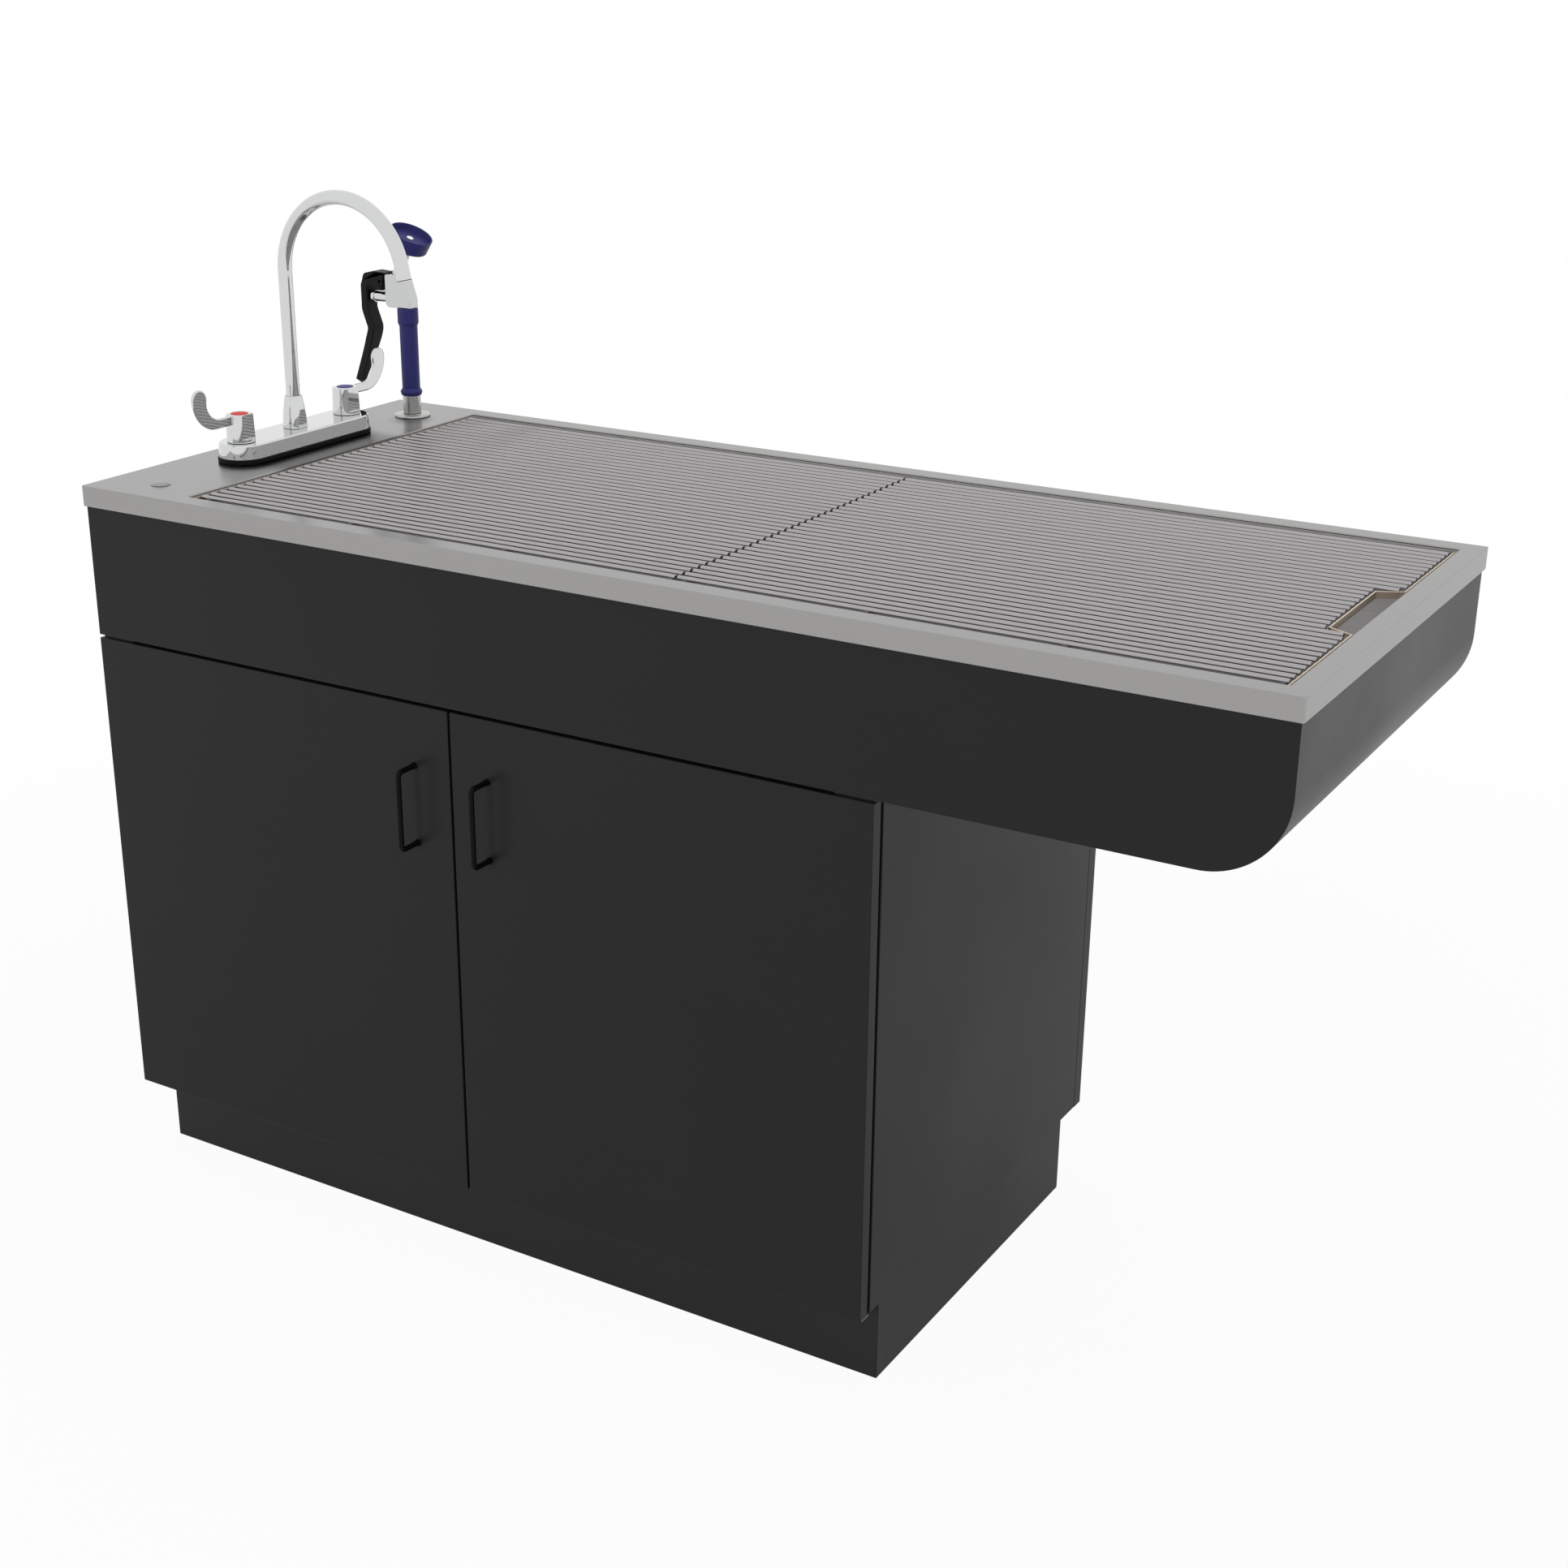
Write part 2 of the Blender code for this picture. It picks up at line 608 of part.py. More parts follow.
def build_apron(paint):
    """The apron: front and back boards with a round lower corner, the left end, and the board
    that wraps down the right end and back under the basin."""
    corner = (APRON_RIGHT - APRON_RADIUS, APRON_BOTTOM + APRON_RADIUS)
    bend = arc(corner, APRON_RADIUS, -pi / 2, 0, WRAP_STEPS)
    outline = [(APRON_LEFT, UNDER_TOP), (APRON_LEFT, APRON_BOTTOM), *bend, (APRON_RIGHT, UNDER_TOP)]
    make_prism("apron_front", "XZ", outline, APRON_FRONT, APRON_FRONT + BOARD, paint)
    make_prism("apron_back", "XZ", outline, APRON_BACK - BOARD, APRON_BACK, paint)
    inner_front = APRON_FRONT + BOARD + SEAT_GAP
    inner_back = APRON_BACK - BOARD - SEAT_GAP
    make_box("apron_left_end", (APRON_LEFT, inner_front, APRON_BOTTOM),
             (APRON_LEFT + BOARD, inner_back, UNDER_TOP), paint)
    wrap_left = APRON_LEFT + BOARD + SEAT_GAP
    inner_bend = arc(corner, APRON_RADIUS - WRAP_BOARD, 0, -pi / 2, WRAP_STEPS)
    wrap_outline = [(wrap_left, APRON_BOTTOM), *bend, (APRON_RIGHT, UNDER_TOP),
                    (APRON_RIGHT - WRAP_BOARD, UNDER_TOP), *inner_bend,
                    (wrap_left, APRON_BOTTOM + WRAP_BOARD)]
    wrap = make_prism("apron_wrap", "XZ", wrap_outline, inner_front, inner_back, paint)
    cut(wrap, make_cylinder("wrap_pipe_hole", "Z", (TRAP_X, 0), PIPE_RADIUS + PIPE_HOLE_CLEARANCE,
                            APRON_BOTTOM - CUT_OVERRUN, APRON_BOTTOM + WRAP_BOARD + CUT_OVERRUN,
                            TURNED_SIDES, paint))


def deck_holes():
    """Name, place and radius of each hole through the deck."""
    shank_hole = SHANK_RADIUS + SHANK_HOLE_CLEARANCE
    return [("hot_hole", (FAUCET_X, -FAUCET_CENTRES / 2), shank_hole),
            ("spout_hole", (FAUCET_X, 0), shank_hole),
            ("cold_hole", (FAUCET_X, FAUCET_CENTRES / 2), shank_hole),
            ("spray_hole", (SPRAY_X, SPRAY_Y), SPRAY_GUIDE_RADIUS + SEAT_GAP),
            ("plug_hole", (X_LEFT + PLUG_FROM_LEFT, Y_FRONT + PLUG_FROM_FRONT), PLUG_STEM_RADIUS + SEAT_GAP)]


def build_top(steel):
    """The steel top: a flat rim and deck round the basin's opening, with a turned-down skirt."""
    top = make_box("top_frame", (X_LEFT, Y_FRONT, TOP_HEIGHT - SKIRT_HEIGHT),
                   (X_RIGHT, Y_BACK, TOP_HEIGHT), steel)
    cut(top, make_box("skirt_hollow",
                      (X_LEFT + TOP_SHEET, Y_FRONT + TOP_SHEET, TOP_HEIGHT - SKIRT_HEIGHT - CUT_OVERRUN),
                      (X_RIGHT - TOP_SHEET, Y_BACK - TOP_SHEET, TOP_HEIGHT - TOP_SHEET), steel))
    low = TOP_HEIGHT - TOP_SHEET - CUT_OVERRUN
    high = TOP_HEIGHT + CUT_OVERRUN
    cut(top, make_box("basin_opening", (OPEN_LEFT, OPEN_FRONT, low), (OPEN_RIGHT, OPEN_BACK, high), steel))
    for name, place, radius in deck_holes():
        cut(top, make_cylinder(name, "Z", place, radius, low, high, TURNED_SIDES, steel))


def build_basin(steel):
    """The basin: a sheet that steps in at a ledge for the grates, with a floor that falls to a
    flat sump under the notch."""
    shape = bmesh.new()
    left, right = OPEN_LEFT + LEDGE_WIDTH, OPEN_RIGHT - LEDGE_WIDTH
    front, back = OPEN_FRONT + LEDGE_WIDTH, OPEN_BACK - LEDGE_WIDTH
    funnel = right - FUNNEL_LENGTH
    sump_left = SUMP_RIGHT - SUMP_SIZE
    fall = (SUMP_DEPTH - FLOOR_DEPTH_LEFT) / (sump_left - left)
    funnel_level = TOP_HEIGHT - FLOOR_DEPTH_LEFT - fall * (funnel - left)
    left_level = TOP_HEIGHT - FLOOR_DEPTH_LEFT
    right_level = TOP_HEIGHT - FLOOR_DEPTH_RIGHT

    def ring(x_low, x_high, y_low, y_high, level):
        corners = ((x_low, y_low), (x_high, y_low), (x_high, y_high), (x_low, y_high))
        return [shape.verts.new((x, y, level)) for x, y in corners]

    edge = ring(OPEN_LEFT, OPEN_RIGHT, OPEN_FRONT, OPEN_BACK, UNDER_TOP)
    ledge_outer = ring(OPEN_LEFT, OPEN_RIGHT, OPEN_FRONT, OPEN_BACK, LEDGE_LEVEL)
    ledge_inner = ring(left, right, front, back, LEDGE_LEVEL)
    for upper, lower in ((edge, ledge_outer), (ledge_outer, ledge_inner)):
        for index in range(4):
            following = (index + 1) % 4
            shape.faces.new((upper[index], lower[index], lower[following], upper[following]))
    floor_left = [shape.verts.new((left, y, left_level)) for y in (front, back)]
    floor_funnel = [shape.verts.new((funnel, y, funnel_level)) for y in (front, back)]
    floor_right = [shape.verts.new((right, y, right_level)) for y in (front, back)]
    sump = ring(sump_left, SUMP_RIGHT, -SUMP_SIZE / 2, SUMP_SIZE / 2, SUMP_LEVEL)
    shape.faces.new((ledge_inner[0], floor_left[0], floor_funnel[0], floor_right[0], ledge_inner[1]))
    shape.faces.new((ledge_inner[1], floor_right[0], floor_right[1], ledge_inner[2]))
    shape.faces.new((ledge_inner[2], floor_right[1], floor_funnel[1], floor_left[1], ledge_inner[3]))
    shape.faces.new((ledge_inner[3], floor_left[1], floor_left[0], ledge_inner[0]))
    shape.faces.new((floor_left[0], floor_left[1], floor_funnel[1], sump[3], sump[0], floor_funnel[0]))
    shape.faces.new((floor_funnel[0], sump[0], sump[1]))
    shape.faces.new((floor_funnel[0], sump[1], floor_right[0]))
    shape.faces.new((floor_right[0], sump[1], sump[2], floor_right[1]))
    shape.faces.new((floor_right[1], sump[2], floor_funnel[1]))
    shape.faces.new((floor_funnel[1], sump[2], sump[3]))
    shape.faces.new(sump)
    basin = make_object("basin", shape, steel)
    if basin.data.polygons[-1].normal.z < 0:
        basin.data.flip_normals()
    wall = basin.modifiers.new("Sheet", "SOLIDIFY")
    wall.thickness = BASIN_SHEET
    wall.offset = -1.0
    wall.use_even_offset = True
    cut(basin, make_cylinder("drain_hole", "Z", (DRAIN_X, 0), PIPE_RADIUS + SEAT_GAP,
                             SUMP_LEVEL - BASIN_SHEET - CUT_OVERRUN, SUMP_LEVEL + CUT_OVERRUN,
                             TURNED_SIDES, steel))


def build_ring(name, place, outer, inner, low, high, sides, material):
    """A plain ring about a vertical axis."""
    profile = [(outer, low), (outer, high), (inner, high), (inner, low)]
    return make_turned(name, profile, Vector((*place, 0)), sides, material, closed=True)


def build_hex_nut(name, place, shank_radius, brass):
    """A six-sided nut under the deck, round a shank."""
    top = TOP_HEIGHT - TOP_SHEET - SEAT_GAP
    low = top - SHANK_NUT_HEIGHT
    nut = make_cylinder(name, "Z", place, SHANK_NUT_RADIUS, low, top, NUT_SIDES, brass)
    cut(nut, make_cylinder(name + "_bore", "Z", place, shank_radius + SEAT_GAP, low - CUT_OVERRUN,
                           top + CUT_OVERRUN, TURNED_SIDES, brass))


def build_drain(steel, plastic):
    """The drain: flange and nut in the sump, a pipe back to the cabinet, and a trap in it."""
    bore = PIPE_RADIUS - PIPE_WALL
    flange_level = SUMP_LEVEL + SEAT_GAP
    flange_top = flange_level + DRAIN_FLANGE_THICKNESS
    profile = [(bore, DRAIN_TUBE_END), (PIPE_RADIUS, DRAIN_TUBE_END), (PIPE_RADIUS, flange_level),
               (DRAIN_FLANGE_RADIUS, flange_level), (DRAIN_FLANGE_RADIUS, flange_top), (bore, flange_top)]
    make_turned("drain_flange", profile, Vector((DRAIN_X, 0, 0)), TURNED_SIDES, steel, closed=True)
    nut_top = SUMP_LEVEL - BASIN_SHEET - SEAT_GAP
    nut_bore = PIPE_RADIUS + SEAT_GAP
    build_ring("drain_nut", (DRAIN_X, 0), DRAIN_NUT_RADIUS, nut_bore, nut_top - DRAIN_NUT_HEIGHT, nut_top,
               TURNED_SIDES, steel)
    build_ring("drain_slip_nut", (DRAIN_X, 0), SLIP_NUT_RADIUS, nut_bore, DRAIN_TUBE_END - SLIP_NUT_HEIGHT / 2,
               DRAIN_TUBE_END + SLIP_NUT_HEIGHT / 2, TURNED_SIDES, plastic)
    corners = [(DRAIN_X, DRAIN_TUBE_END - SEAT_GAP), (DRAIN_X, PIPE_RUN_LEVEL),
               (TRAP_X, PIPE_RUN_LEVEL), (TRAP_X, TRAP_INLET_LEVEL)]
    make_pipe("drain_pipe", "XZ", rounded_line(corners, (PIPE_BEND, PIPE_BEND), BEND_STEPS), 0,
              PIPE_RADIUS, bore, TUBE_SIDES, plastic)
    build_ring("trap_inlet_nut", (TRAP_X, 0), SLIP_NUT_RADIUS, nut_bore, TRAP_INLET_LEVEL - SLIP_NUT_HEIGHT / 2,
               TRAP_INLET_LEVEL + SLIP_NUT_HEIGHT / 2, TURNED_SIDES, plastic)
    bottom = arc((TRAP_BEND, TRAP_INLET_LEVEL - TRAP_LEG), TRAP_BEND, pi, 2 * pi, 2 * BEND_STEPS)
    trap_line = [(0, TRAP_INLET_LEVEL - SEAT_GAP), *bottom, (2 * TRAP_BEND, TRAP_RISER_TOP)]
    make_pipe("trap_bend", "YZ", trap_line, TRAP_X, PIPE_RADIUS, bore, TUBE_SIDES, plastic)
    build_ring("trap_outlet_nut", (TRAP_X, 2 * TRAP_BEND), SLIP_NUT_RADIUS, nut_bore,
               TRAP_RISER_TOP - SLIP_NUT_HEIGHT / 2, TRAP_RISER_TOP + SLIP_NUT_HEIGHT / 2,
               TURNED_SIDES, plastic)
    arm_corners = [(2 * TRAP_BEND, TRAP_RISER_TOP + SEAT_GAP), (2 * TRAP_BEND, TRAP_ARM_LEVEL),
                   (APRON_BACK, TRAP_ARM_LEVEL)]
    arm_line = rounded_line(arm_corners, (PIPE_BEND,), BEND_STEPS)
    make_pipe("trap_arm", "YZ", arm_line, TRAP_X, PIPE_RADIUS, bore, TUBE_SIDES, plastic)


def stadium(centre, length, width, steps):
    """A slot-shaped outline, long in Y, round at both ends."""
    half = (length - width) / 2
    far = arc((centre[0], centre[1] + half), width / 2, 0, pi, steps)
    near = arc((centre[0], centre[1] - half), width / 2, pi, 2 * pi, steps)
    return far + near


def build_faucet_base(chrome, rubber, brass):
    """The faucet's gasket, deck plate, valves with their nuts, and the spout's socket."""
    centre = (FAUCET_X, 0)
    gasket_low = TOP_HEIGHT + SEAT_GAP
    gasket_top = gasket_low + GASKET_HEIGHT
    plate_low = PLATE_TOP - PLATE_HEIGHT
    gasket = make_prism("faucet_gasket", "XY", stadium(centre, PLATE_LENGTH + 2 * GASKET_OUTSET,
                                                       PLATE_WIDTH + 2 * GASKET_OUTSET, STADIUM_STEPS),
                        gasket_low, gasket_top, rubber)
    shape = bmesh.new()
    levels = []
    sections = ((plate_low, 0), (plate_low + PLATE_WALL_HEIGHT, PLATE_DRAFT), (PLATE_TOP, PLATE_TAPER))
    for level, taper in sections:
        outline = stadium(centre, PLATE_LENGTH - 2 * taper, PLATE_WIDTH - 2 * taper, STADIUM_STEPS)
        levels.append([shape.verts.new((x, y, level)) for x, y in outline])
    for lower, upper in zip(levels, levels[1:]):
        for index in range(len(lower)):
            following = (index + 1) % len(lower)
            shape.faces.new((lower[index], lower[following], upper[following], upper[index]))
    shape.faces.new(levels[0])
    shape.faces.new(levels[-1])
    plate = make_object("faucet_plate", shape, chrome)
    seats = (("hot", -FAUCET_CENTRES / 2), ("spout", 0), ("cold", FAUCET_CENTRES / 2))
    for name, y in seats:
        for target in (gasket, plate):
            cut(target, make_cylinder(target.name + "_" + name + "_bore", "Z", (FAUCET_X, y),
                                      SHANK_RADIUS + SEAT_GAP, TOP_HEIGHT - CUT_OVERRUN,
                                      PLATE_TOP + CUT_OVERRUN, TURNED_SIDES, chrome))
    shank_end = TOP_HEIGHT - SHANK_DROP
    seat = PLATE_TOP + SEAT_GAP
    for name, y in (seats[0], seats[2]):
        bonnet_top = seat + BONNET_HEIGHT
        profile = [(0, shank_end), (SHANK_RADIUS, shank_end), (SHANK_RADIUS, seat), (BONNET_RADIUS, seat),
                   (BONNET_RADIUS, bonnet_top), (STEM_RADIUS, bonnet_top),
                   (STEM_RADIUS, bonnet_top + STEM_HEIGHT), (0, bonnet_top + STEM_HEIGHT)]
        make_turned(name + "_valve", profile, Vector((FAUCET_X, y, 0)), TURNED_SIDES, brass)
    socket_top = seat + SOCKET_HEIGHT
    spout_bore = SPOUT_RADIUS + SEAT_GAP
    bore_floor = socket_top - SPOUT_INSERTION - SEAT_GAP
    profile = [(0, shank_end), (SHANK_RADIUS, shank_end), (SHANK_RADIUS, seat), (SOCKET_BOTTOM_RADIUS, seat),
               (SOCKET_WAIST_RADIUS, seat + SOCKET_WAIST_HEIGHT), (SOCKET_TOP_RADIUS, socket_top),
               (spout_bore, socket_top), (spout_bore, bore_floor), (0, bore_floor)]
    make_turned("spout_socket", profile, Vector((FAUCET_X, 0, 0)), TURNED_SIDES, chrome)
    for name, y in seats:
        build_hex_nut(name + "_shank_nut", (FAUCET_X, y), SHANK_RADIUS, brass)
    return socket_top


def build_spout(socket_top, chrome):
    """The swivelling gooseneck, a tube whose lower end stands in the socket."""
    start = socket_top - SPOUT_INSERTION
    end_angle = pi - SPOUT_SWEEP
    bend = arc((FAUCET_X + SPOUT_BEND, SPOUT_LEG_LEVEL), SPOUT_BEND, pi, end_angle, SPOUT_STEPS)
    mouth = (bend[-1][0] + SPOUT_TAIL * sin(end_angle), bend[-1][1] - SPOUT_TAIL * cos(end_angle))
    spout = make_pipe("spout", "XZ", [(FAUCET_X, start), (FAUCET_X, socket_top), *bend, mouth], 0,
                      SPOUT_RADIUS, SPOUT_RADIUS - SPOUT_WALL, TUBE_SIDES, chrome)
    hang_on([spout], add_empty("spout_axis", Vector((FAUCET_X, 0, socket_top))))


def blade_outline(hub_top):
    """The side view of a handle's blade: out level from the hub, then curling up to a wide round
    tip. Points are (distance from the hub's axis, height)."""
    level = hub_top - BLADE_ROOT_HEIGHT / 2
    line = [(0, level), (BLADE_RUN, level)]
    line += arc((BLADE_RUN, level + BLADE_BEND), BLADE_BEND, -pi / 2, 0, BLADE_STEPS)[1:]
    line.append((BLADE_RUN + BLADE_BEND, level + BLADE_BEND + BLADE_TIP_RISE))
    outer, inner = [], []
    widening = (BLADE_TIP_WIDTH - BLADE_ROOT_HEIGHT) / 2
    for index, point in enumerate(line):
        along = max(index - 1, 0) / (len(line) - 2)
        half = BLADE_ROOT_HEIGHT / 2 + widening * along
        turn = min(max(index - 1, 0) / BLADE_STEPS, 1) * pi / 2
        outer.append((point[0] + half * sin(turn), point[1] - half * cos(turn)))
        inner.append((point[0] - half * sin(turn), point[1] + half * cos(turn)))
    tip = arc(line[-1], BLADE_TIP_WIDTH / 2, 0, pi, BLADE_STEPS)[1:-1]
    return outer + tip + inner[::-1]


def build_handle(name, side, chrome, cap_plastic):
    """A lever handle on its valve stem: hub with two flats over a round foot, blade and coloured cap."""
    y = side * FAUCET_CENTRES / 2
    bottom = PLATE_TOP + BONNET_HEIGHT + 2 * SEAT_GAP
    top = bottom + HUB_HEIGHT
    bore = STEM_RADIUS + SEAT_GAP
    bore_top = bottom + STEM_HEIGHT
    recess = top - CAP_RECESS
    profile = [(0, recess), (CAP_RADIUS + SEAT_GAP, recess), (CAP_RADIUS + SEAT_GAP, top),
               (HUB_TOP_RADIUS - HUB_EDGE, top), (HUB_TOP_RADIUS, top - HUB_EDGE),
               (HUB_BOTTOM_RADIUS, bottom), (bore, bottom), (bore, bore_top), (0, bore_top)]
    hub = make_turned(name + "_handle", profile, Vector((FAUCET_X, y, 0)), TURNED_SIDES, chrome)
    pieces = [hub]
    for way, side_name in ((-1, "_left_flat"), (1, "_right_flat")):
        faces = sorted((FAUCET_X + way * HUB_FLAT, FAUCET_X + way * (HUB_BOTTOM_RADIUS + CUT_OVERRUN)))
        pieces.append(cut(hub, make_box(name + side_name,
                                        (faces[0], y - HUB_BOTTOM_RADIUS, bottom + HUB_FOOT),
                                        (faces[1], y + HUB_BOTTOM_RADIUS, top + CUT_OVERRUN), chrome)))
    root = (CAP_RADIUS + HUB_TOP_RADIUS) / 2
    outline = [(y + side * max(reach, root), height) for reach, height in blade_outline(top)]
    pieces.append(fuse(hub, make_prism(name + "_blade", "YZ", outline, FAUCET_X - BLADE_THICKNESS / 2,
                                       FAUCET_X + BLADE_THICKNESS / 2, chrome)))
    cap_low = recess + SEAT_GAP
    cap = [(0, cap_low), (CAP_RADIUS, cap_low), (CAP_RADIUS, cap_low + CAP_THICKNESS),
           (0, cap_low + CAP_THICKNESS)]
    pieces.append(make_turned(name + "_cap", cap, Vector((FAUCET_X, y, 0)), TURNED_SIDES, cap_plastic))
    hang_on(pieces, add_empty(name + "_handle_axis", Vector((FAUCET_X, y, bottom))))


def build_spray_holder(chrome, brass):
    """The deck fitting that the hand spray stands in, and its nut."""
    base = TOP_HEIGHT + SEAT_GAP
    top = base + SPRAY_FLANGE_HEIGHT
    end = TOP_HEIGHT - SPRAY_GUIDE_DROP
    edge = SPRAY_FLANGE_RADIUS - SPRAY_FLANGE_HEIGHT
    profile = [(SPRAY_GUIDE_BORE, end), (SPRAY_GUIDE_RADIUS, end), (SPRAY_GUIDE_RADIUS, base),
               (SPRAY_FLANGE_RADIUS, base), (edge, top), (SPRAY_GUIDE_BORE, top)]
    make_turned("spray_flange", profile, Vector((SPRAY_X, SPRAY_Y, 0)), TURNED_SIDES, chrome, closed=True)
    build_hex_nut("spray_nut", (SPRAY_X, SPRAY_Y), SPRAY_GUIDE_RADIUS, brass)


def lever_outline():
    """The side view of the trigger lever, as (x, height) points: a long bent grip part, and an
    arm across to the valve body with a thin plate that laps over it."""
    body_face = SPRAY_X - VALVE_REACH - SEAT_GAP
    plate_low = VALVE_TOP + SEAT_GAP
    arm_top = plate_low + LEVER_TOP_PLATE
    arm_bottom = VALVE_TOP - LEVER_ARM_HEIGHT
    middle = PLUNGER_TIP_X - SEAT_GAP - LEVER_THICKNESS / 2
    line = [(middle, arm_bottom)]
    for reach_share, drop_share in LEVER_LINE_SHARES:
        line.append((middle + LEVER_LENGTH * reach_share, arm_top - LEVER_LENGTH * drop_share))
    outer = middle - LEVER_THICKNESS / 2
    shoulder = LEVER_THICKNESS / 2
    return strip_outline(line, LEVER_THICKNESS) + [
        (outer + shoulder / 2, arm_top - 2 * shoulder), (outer + shoulder, arm_top - shoulder / 2),
        (outer + 2 * LEVER_THICKNESS, arm_top + LEVER_CROWN), (body_face, arm_top),
        (body_face + LEVER_TOP_LAP, arm_top - LEVER_TOP_PLATE / 2), (body_face + LEVER_TOP_LAP, plate_low),
        (body_face, plate_low), (body_face - LEVER_ARM_RELIEF, arm_bottom)]


def build_spray_gun(chrome, blue, black, pin_steel):
    """The hand spray: ferrule, grip, valve body with its leaning neck, bumper, nozzle, and the
    sprung lever and plunger that open it."""
    centre = Vector((SPRAY_X, SPRAY_Y, 0))
    profile = [(0, FERRULE_BASE - SPIGOT_LENGTH), (SPIGOT_RADIUS, FERRULE_BASE - SPIGOT_LENGTH),
               (SPIGOT_RADIUS, FERRULE_BASE), (FERRULE_RADIUS, FERRULE_BASE),
               (FERRULE_RADIUS, FERRULE_BASE + FERRULE_HEIGHT), (0, FERRULE_BASE + FERRULE_HEIGHT)]
    pieces = [make_turned("spray_ferrule", profile, centre, TURNED_SIDES, chrome)]
    bulge_edge = (GRIP_BULGE_RADIUS - GRIP_RADIUS) / 2
    collar = GRIP_TOP - COLLAR_HEIGHT
    profile = [(0, GRIP_BASE), (GRIP_BULGE_RADIUS - bulge_edge, GRIP_BASE),
               (GRIP_BULGE_RADIUS, GRIP_BASE + GRIP_BULGE_HEIGHT / 2),
               (GRIP_RADIUS, GRIP_BASE + GRIP_BULGE_HEIGHT), (GRIP_RADIUS, collar - COLLAR_HEIGHT / 4),
               (COLLAR_RADIUS, collar), (COLLAR_RADIUS, GRIP_TOP), (0, GRIP_TOP)]
    pieces.append(make_turned("spray_grip", profile, centre, TURNED_SIDES, blue))
    pieces += build_valve_body(chrome)
    pieces += build_bumper(chrome, blue)
    pieces.append(make_cylinder("spray_lever_pin", "Y", (LEVER_PIVOT_X, LEVER_PIVOT_Z), LEVER_PIN_RADIUS,
                                SPRAY_Y - LEVER_WIDTH / 2, SPRAY_Y + LEVER_WIDTH / 2, PIN_SIDES, pin_steel))
    hang_on(pieces, add_empty("spray_lift_axis", Vector((SPRAY_X, SPRAY_Y, FERRULE_BASE))))
    build_trigger(chrome, black)


def build_valve_body(chrome):
    """The valve body: a chamfered block over the grip, an ear for the lever's pin, a bore for
    the plunger, and the neck that carries the bumper."""
    left = SPRAY_X - VALVE_REACH
    right = SPRAY_X + VALVE_NOSE
    outline = [(left, VALVE_BASE + VALVE_CHAMFER), (left + VALVE_CHAMFER, VALVE_BASE), (right, VALVE_BASE),
               (right, VALVE_BASE + VALVE_NOSE_HEIGHT), (SPRAY_X + VALVE_SHOULDER, VALVE_TOP),
               (left, VALVE_TOP)]
    half = VALVE_WIDTH / 2
    body = make_prism("spray_valve_body", "XZ", outline, SPRAY_Y - half, SPRAY_Y + half, chrome)
    ear_right = left + CUT_OVERRUN
    ear = [(ear_right, LEVER_PIVOT_Z - EAR_DROP), (ear_right, LEVER_PIVOT_Z + EAR_RADIUS)]
    ear += arc((LEVER_PIVOT_X, LEVER_PIVOT_Z), EAR_RADIUS, pi / 2, EAR_TURN, CORNER_STEPS)
    ear.append((LEVER_PIVOT_X, LEVER_PIVOT_Z - EAR_DROP))
    ear_half = EAR_WIDTH / 2
    tools = [fuse(body, make_prism("lever_ear", "XZ", ear, SPRAY_Y - ear_half, SPRAY_Y + ear_half, chrome))]
    base = bumper_base()
    neck_length = (base.z - VALVE_TOP) / cos(NECK_LEAN)
    neck = [(0, -VALVE_HEIGHT / 2), (NECK_RADIUS, -VALVE_HEIGHT / 2), (NECK_RADIUS, neck_length - SEAT_GAP),
            (0, neck_length - SEAT_GAP)]
    foot = base - Vector((sin(NECK_LEAN), 0, cos(NECK_LEAN))) * neck_length
    tools.append(fuse(body, make_turned("spray_neck", neck, foot, TUBE_SIDES, chrome, lean=NECK_LEAN)))
    bore_end = left + PLUNGER_INSERTION + PLUNGER_TRAVEL + CUT_OVERRUN
    tools.append(cut(body, make_cylinder("plunger_bore", "X", (SPRAY_Y, PLUNGER_LEVEL),
                                         PLUNGER_RADIUS + SEAT_GAP, left - CUT_OVERRUN, bore_end,
                                         TUBE_SIDES, chrome)))
    tools.append(cut(body, make_cylinder("ear_pin_hole", "Y", (LEVER_PIVOT_X, LEVER_PIVOT_Z),
                                         LEVER_PIN_RADIUS + SEAT_GAP, SPRAY_Y - EAR_WIDTH,
                                         SPRAY_Y + EAR_WIDTH, PIN_SIDES, chrome)))
    return [body, *tools]


def bumper_base():
    """The middle of the bumper's under side."""
    return Vector((SPRAY_X + BUMPER_OFFSET, SPRAY_Y, GRIP_TOP + BUMPER_ABOVE_GRIP))


def build_bumper(chrome, blue):
    """The cup-shaped bumper on the neck, and the nozzle in its floor."""
    base = bumper_base()
    floor = BUMPER_HEIGHT - BUMPER_DEPTH
    profile = [(0, 0), (BUMPER_BASE_RADIUS, 0), (BUMPER_RADIUS, BUMPER_HEIGHT),
               (BUMPER_RADIUS - BUMPER_WALL, BUMPER_HEIGHT), (BUMPER_BASE_RADIUS - BUMPER_WALL, floor),
               (0, floor)]
    bumper = make_turned("spray_bumper", profile, base, TURNED_SIDES, blue, lean=NECK_LEAN)
    profile = [(0, floor + SEAT_GAP), (NOZZLE_RADIUS, floor + SEAT_GAP),
               (NOZZLE_RADIUS - NOZZLE_HEIGHT / 2, floor + NOZZLE_HEIGHT), (0, floor + NOZZLE_HEIGHT)]
    nozzle = make_turned("spray_nozzle", profile, base, TUBE_SIDES, chrome, lean=NECK_LEAN)
    return [bumper, nozzle]


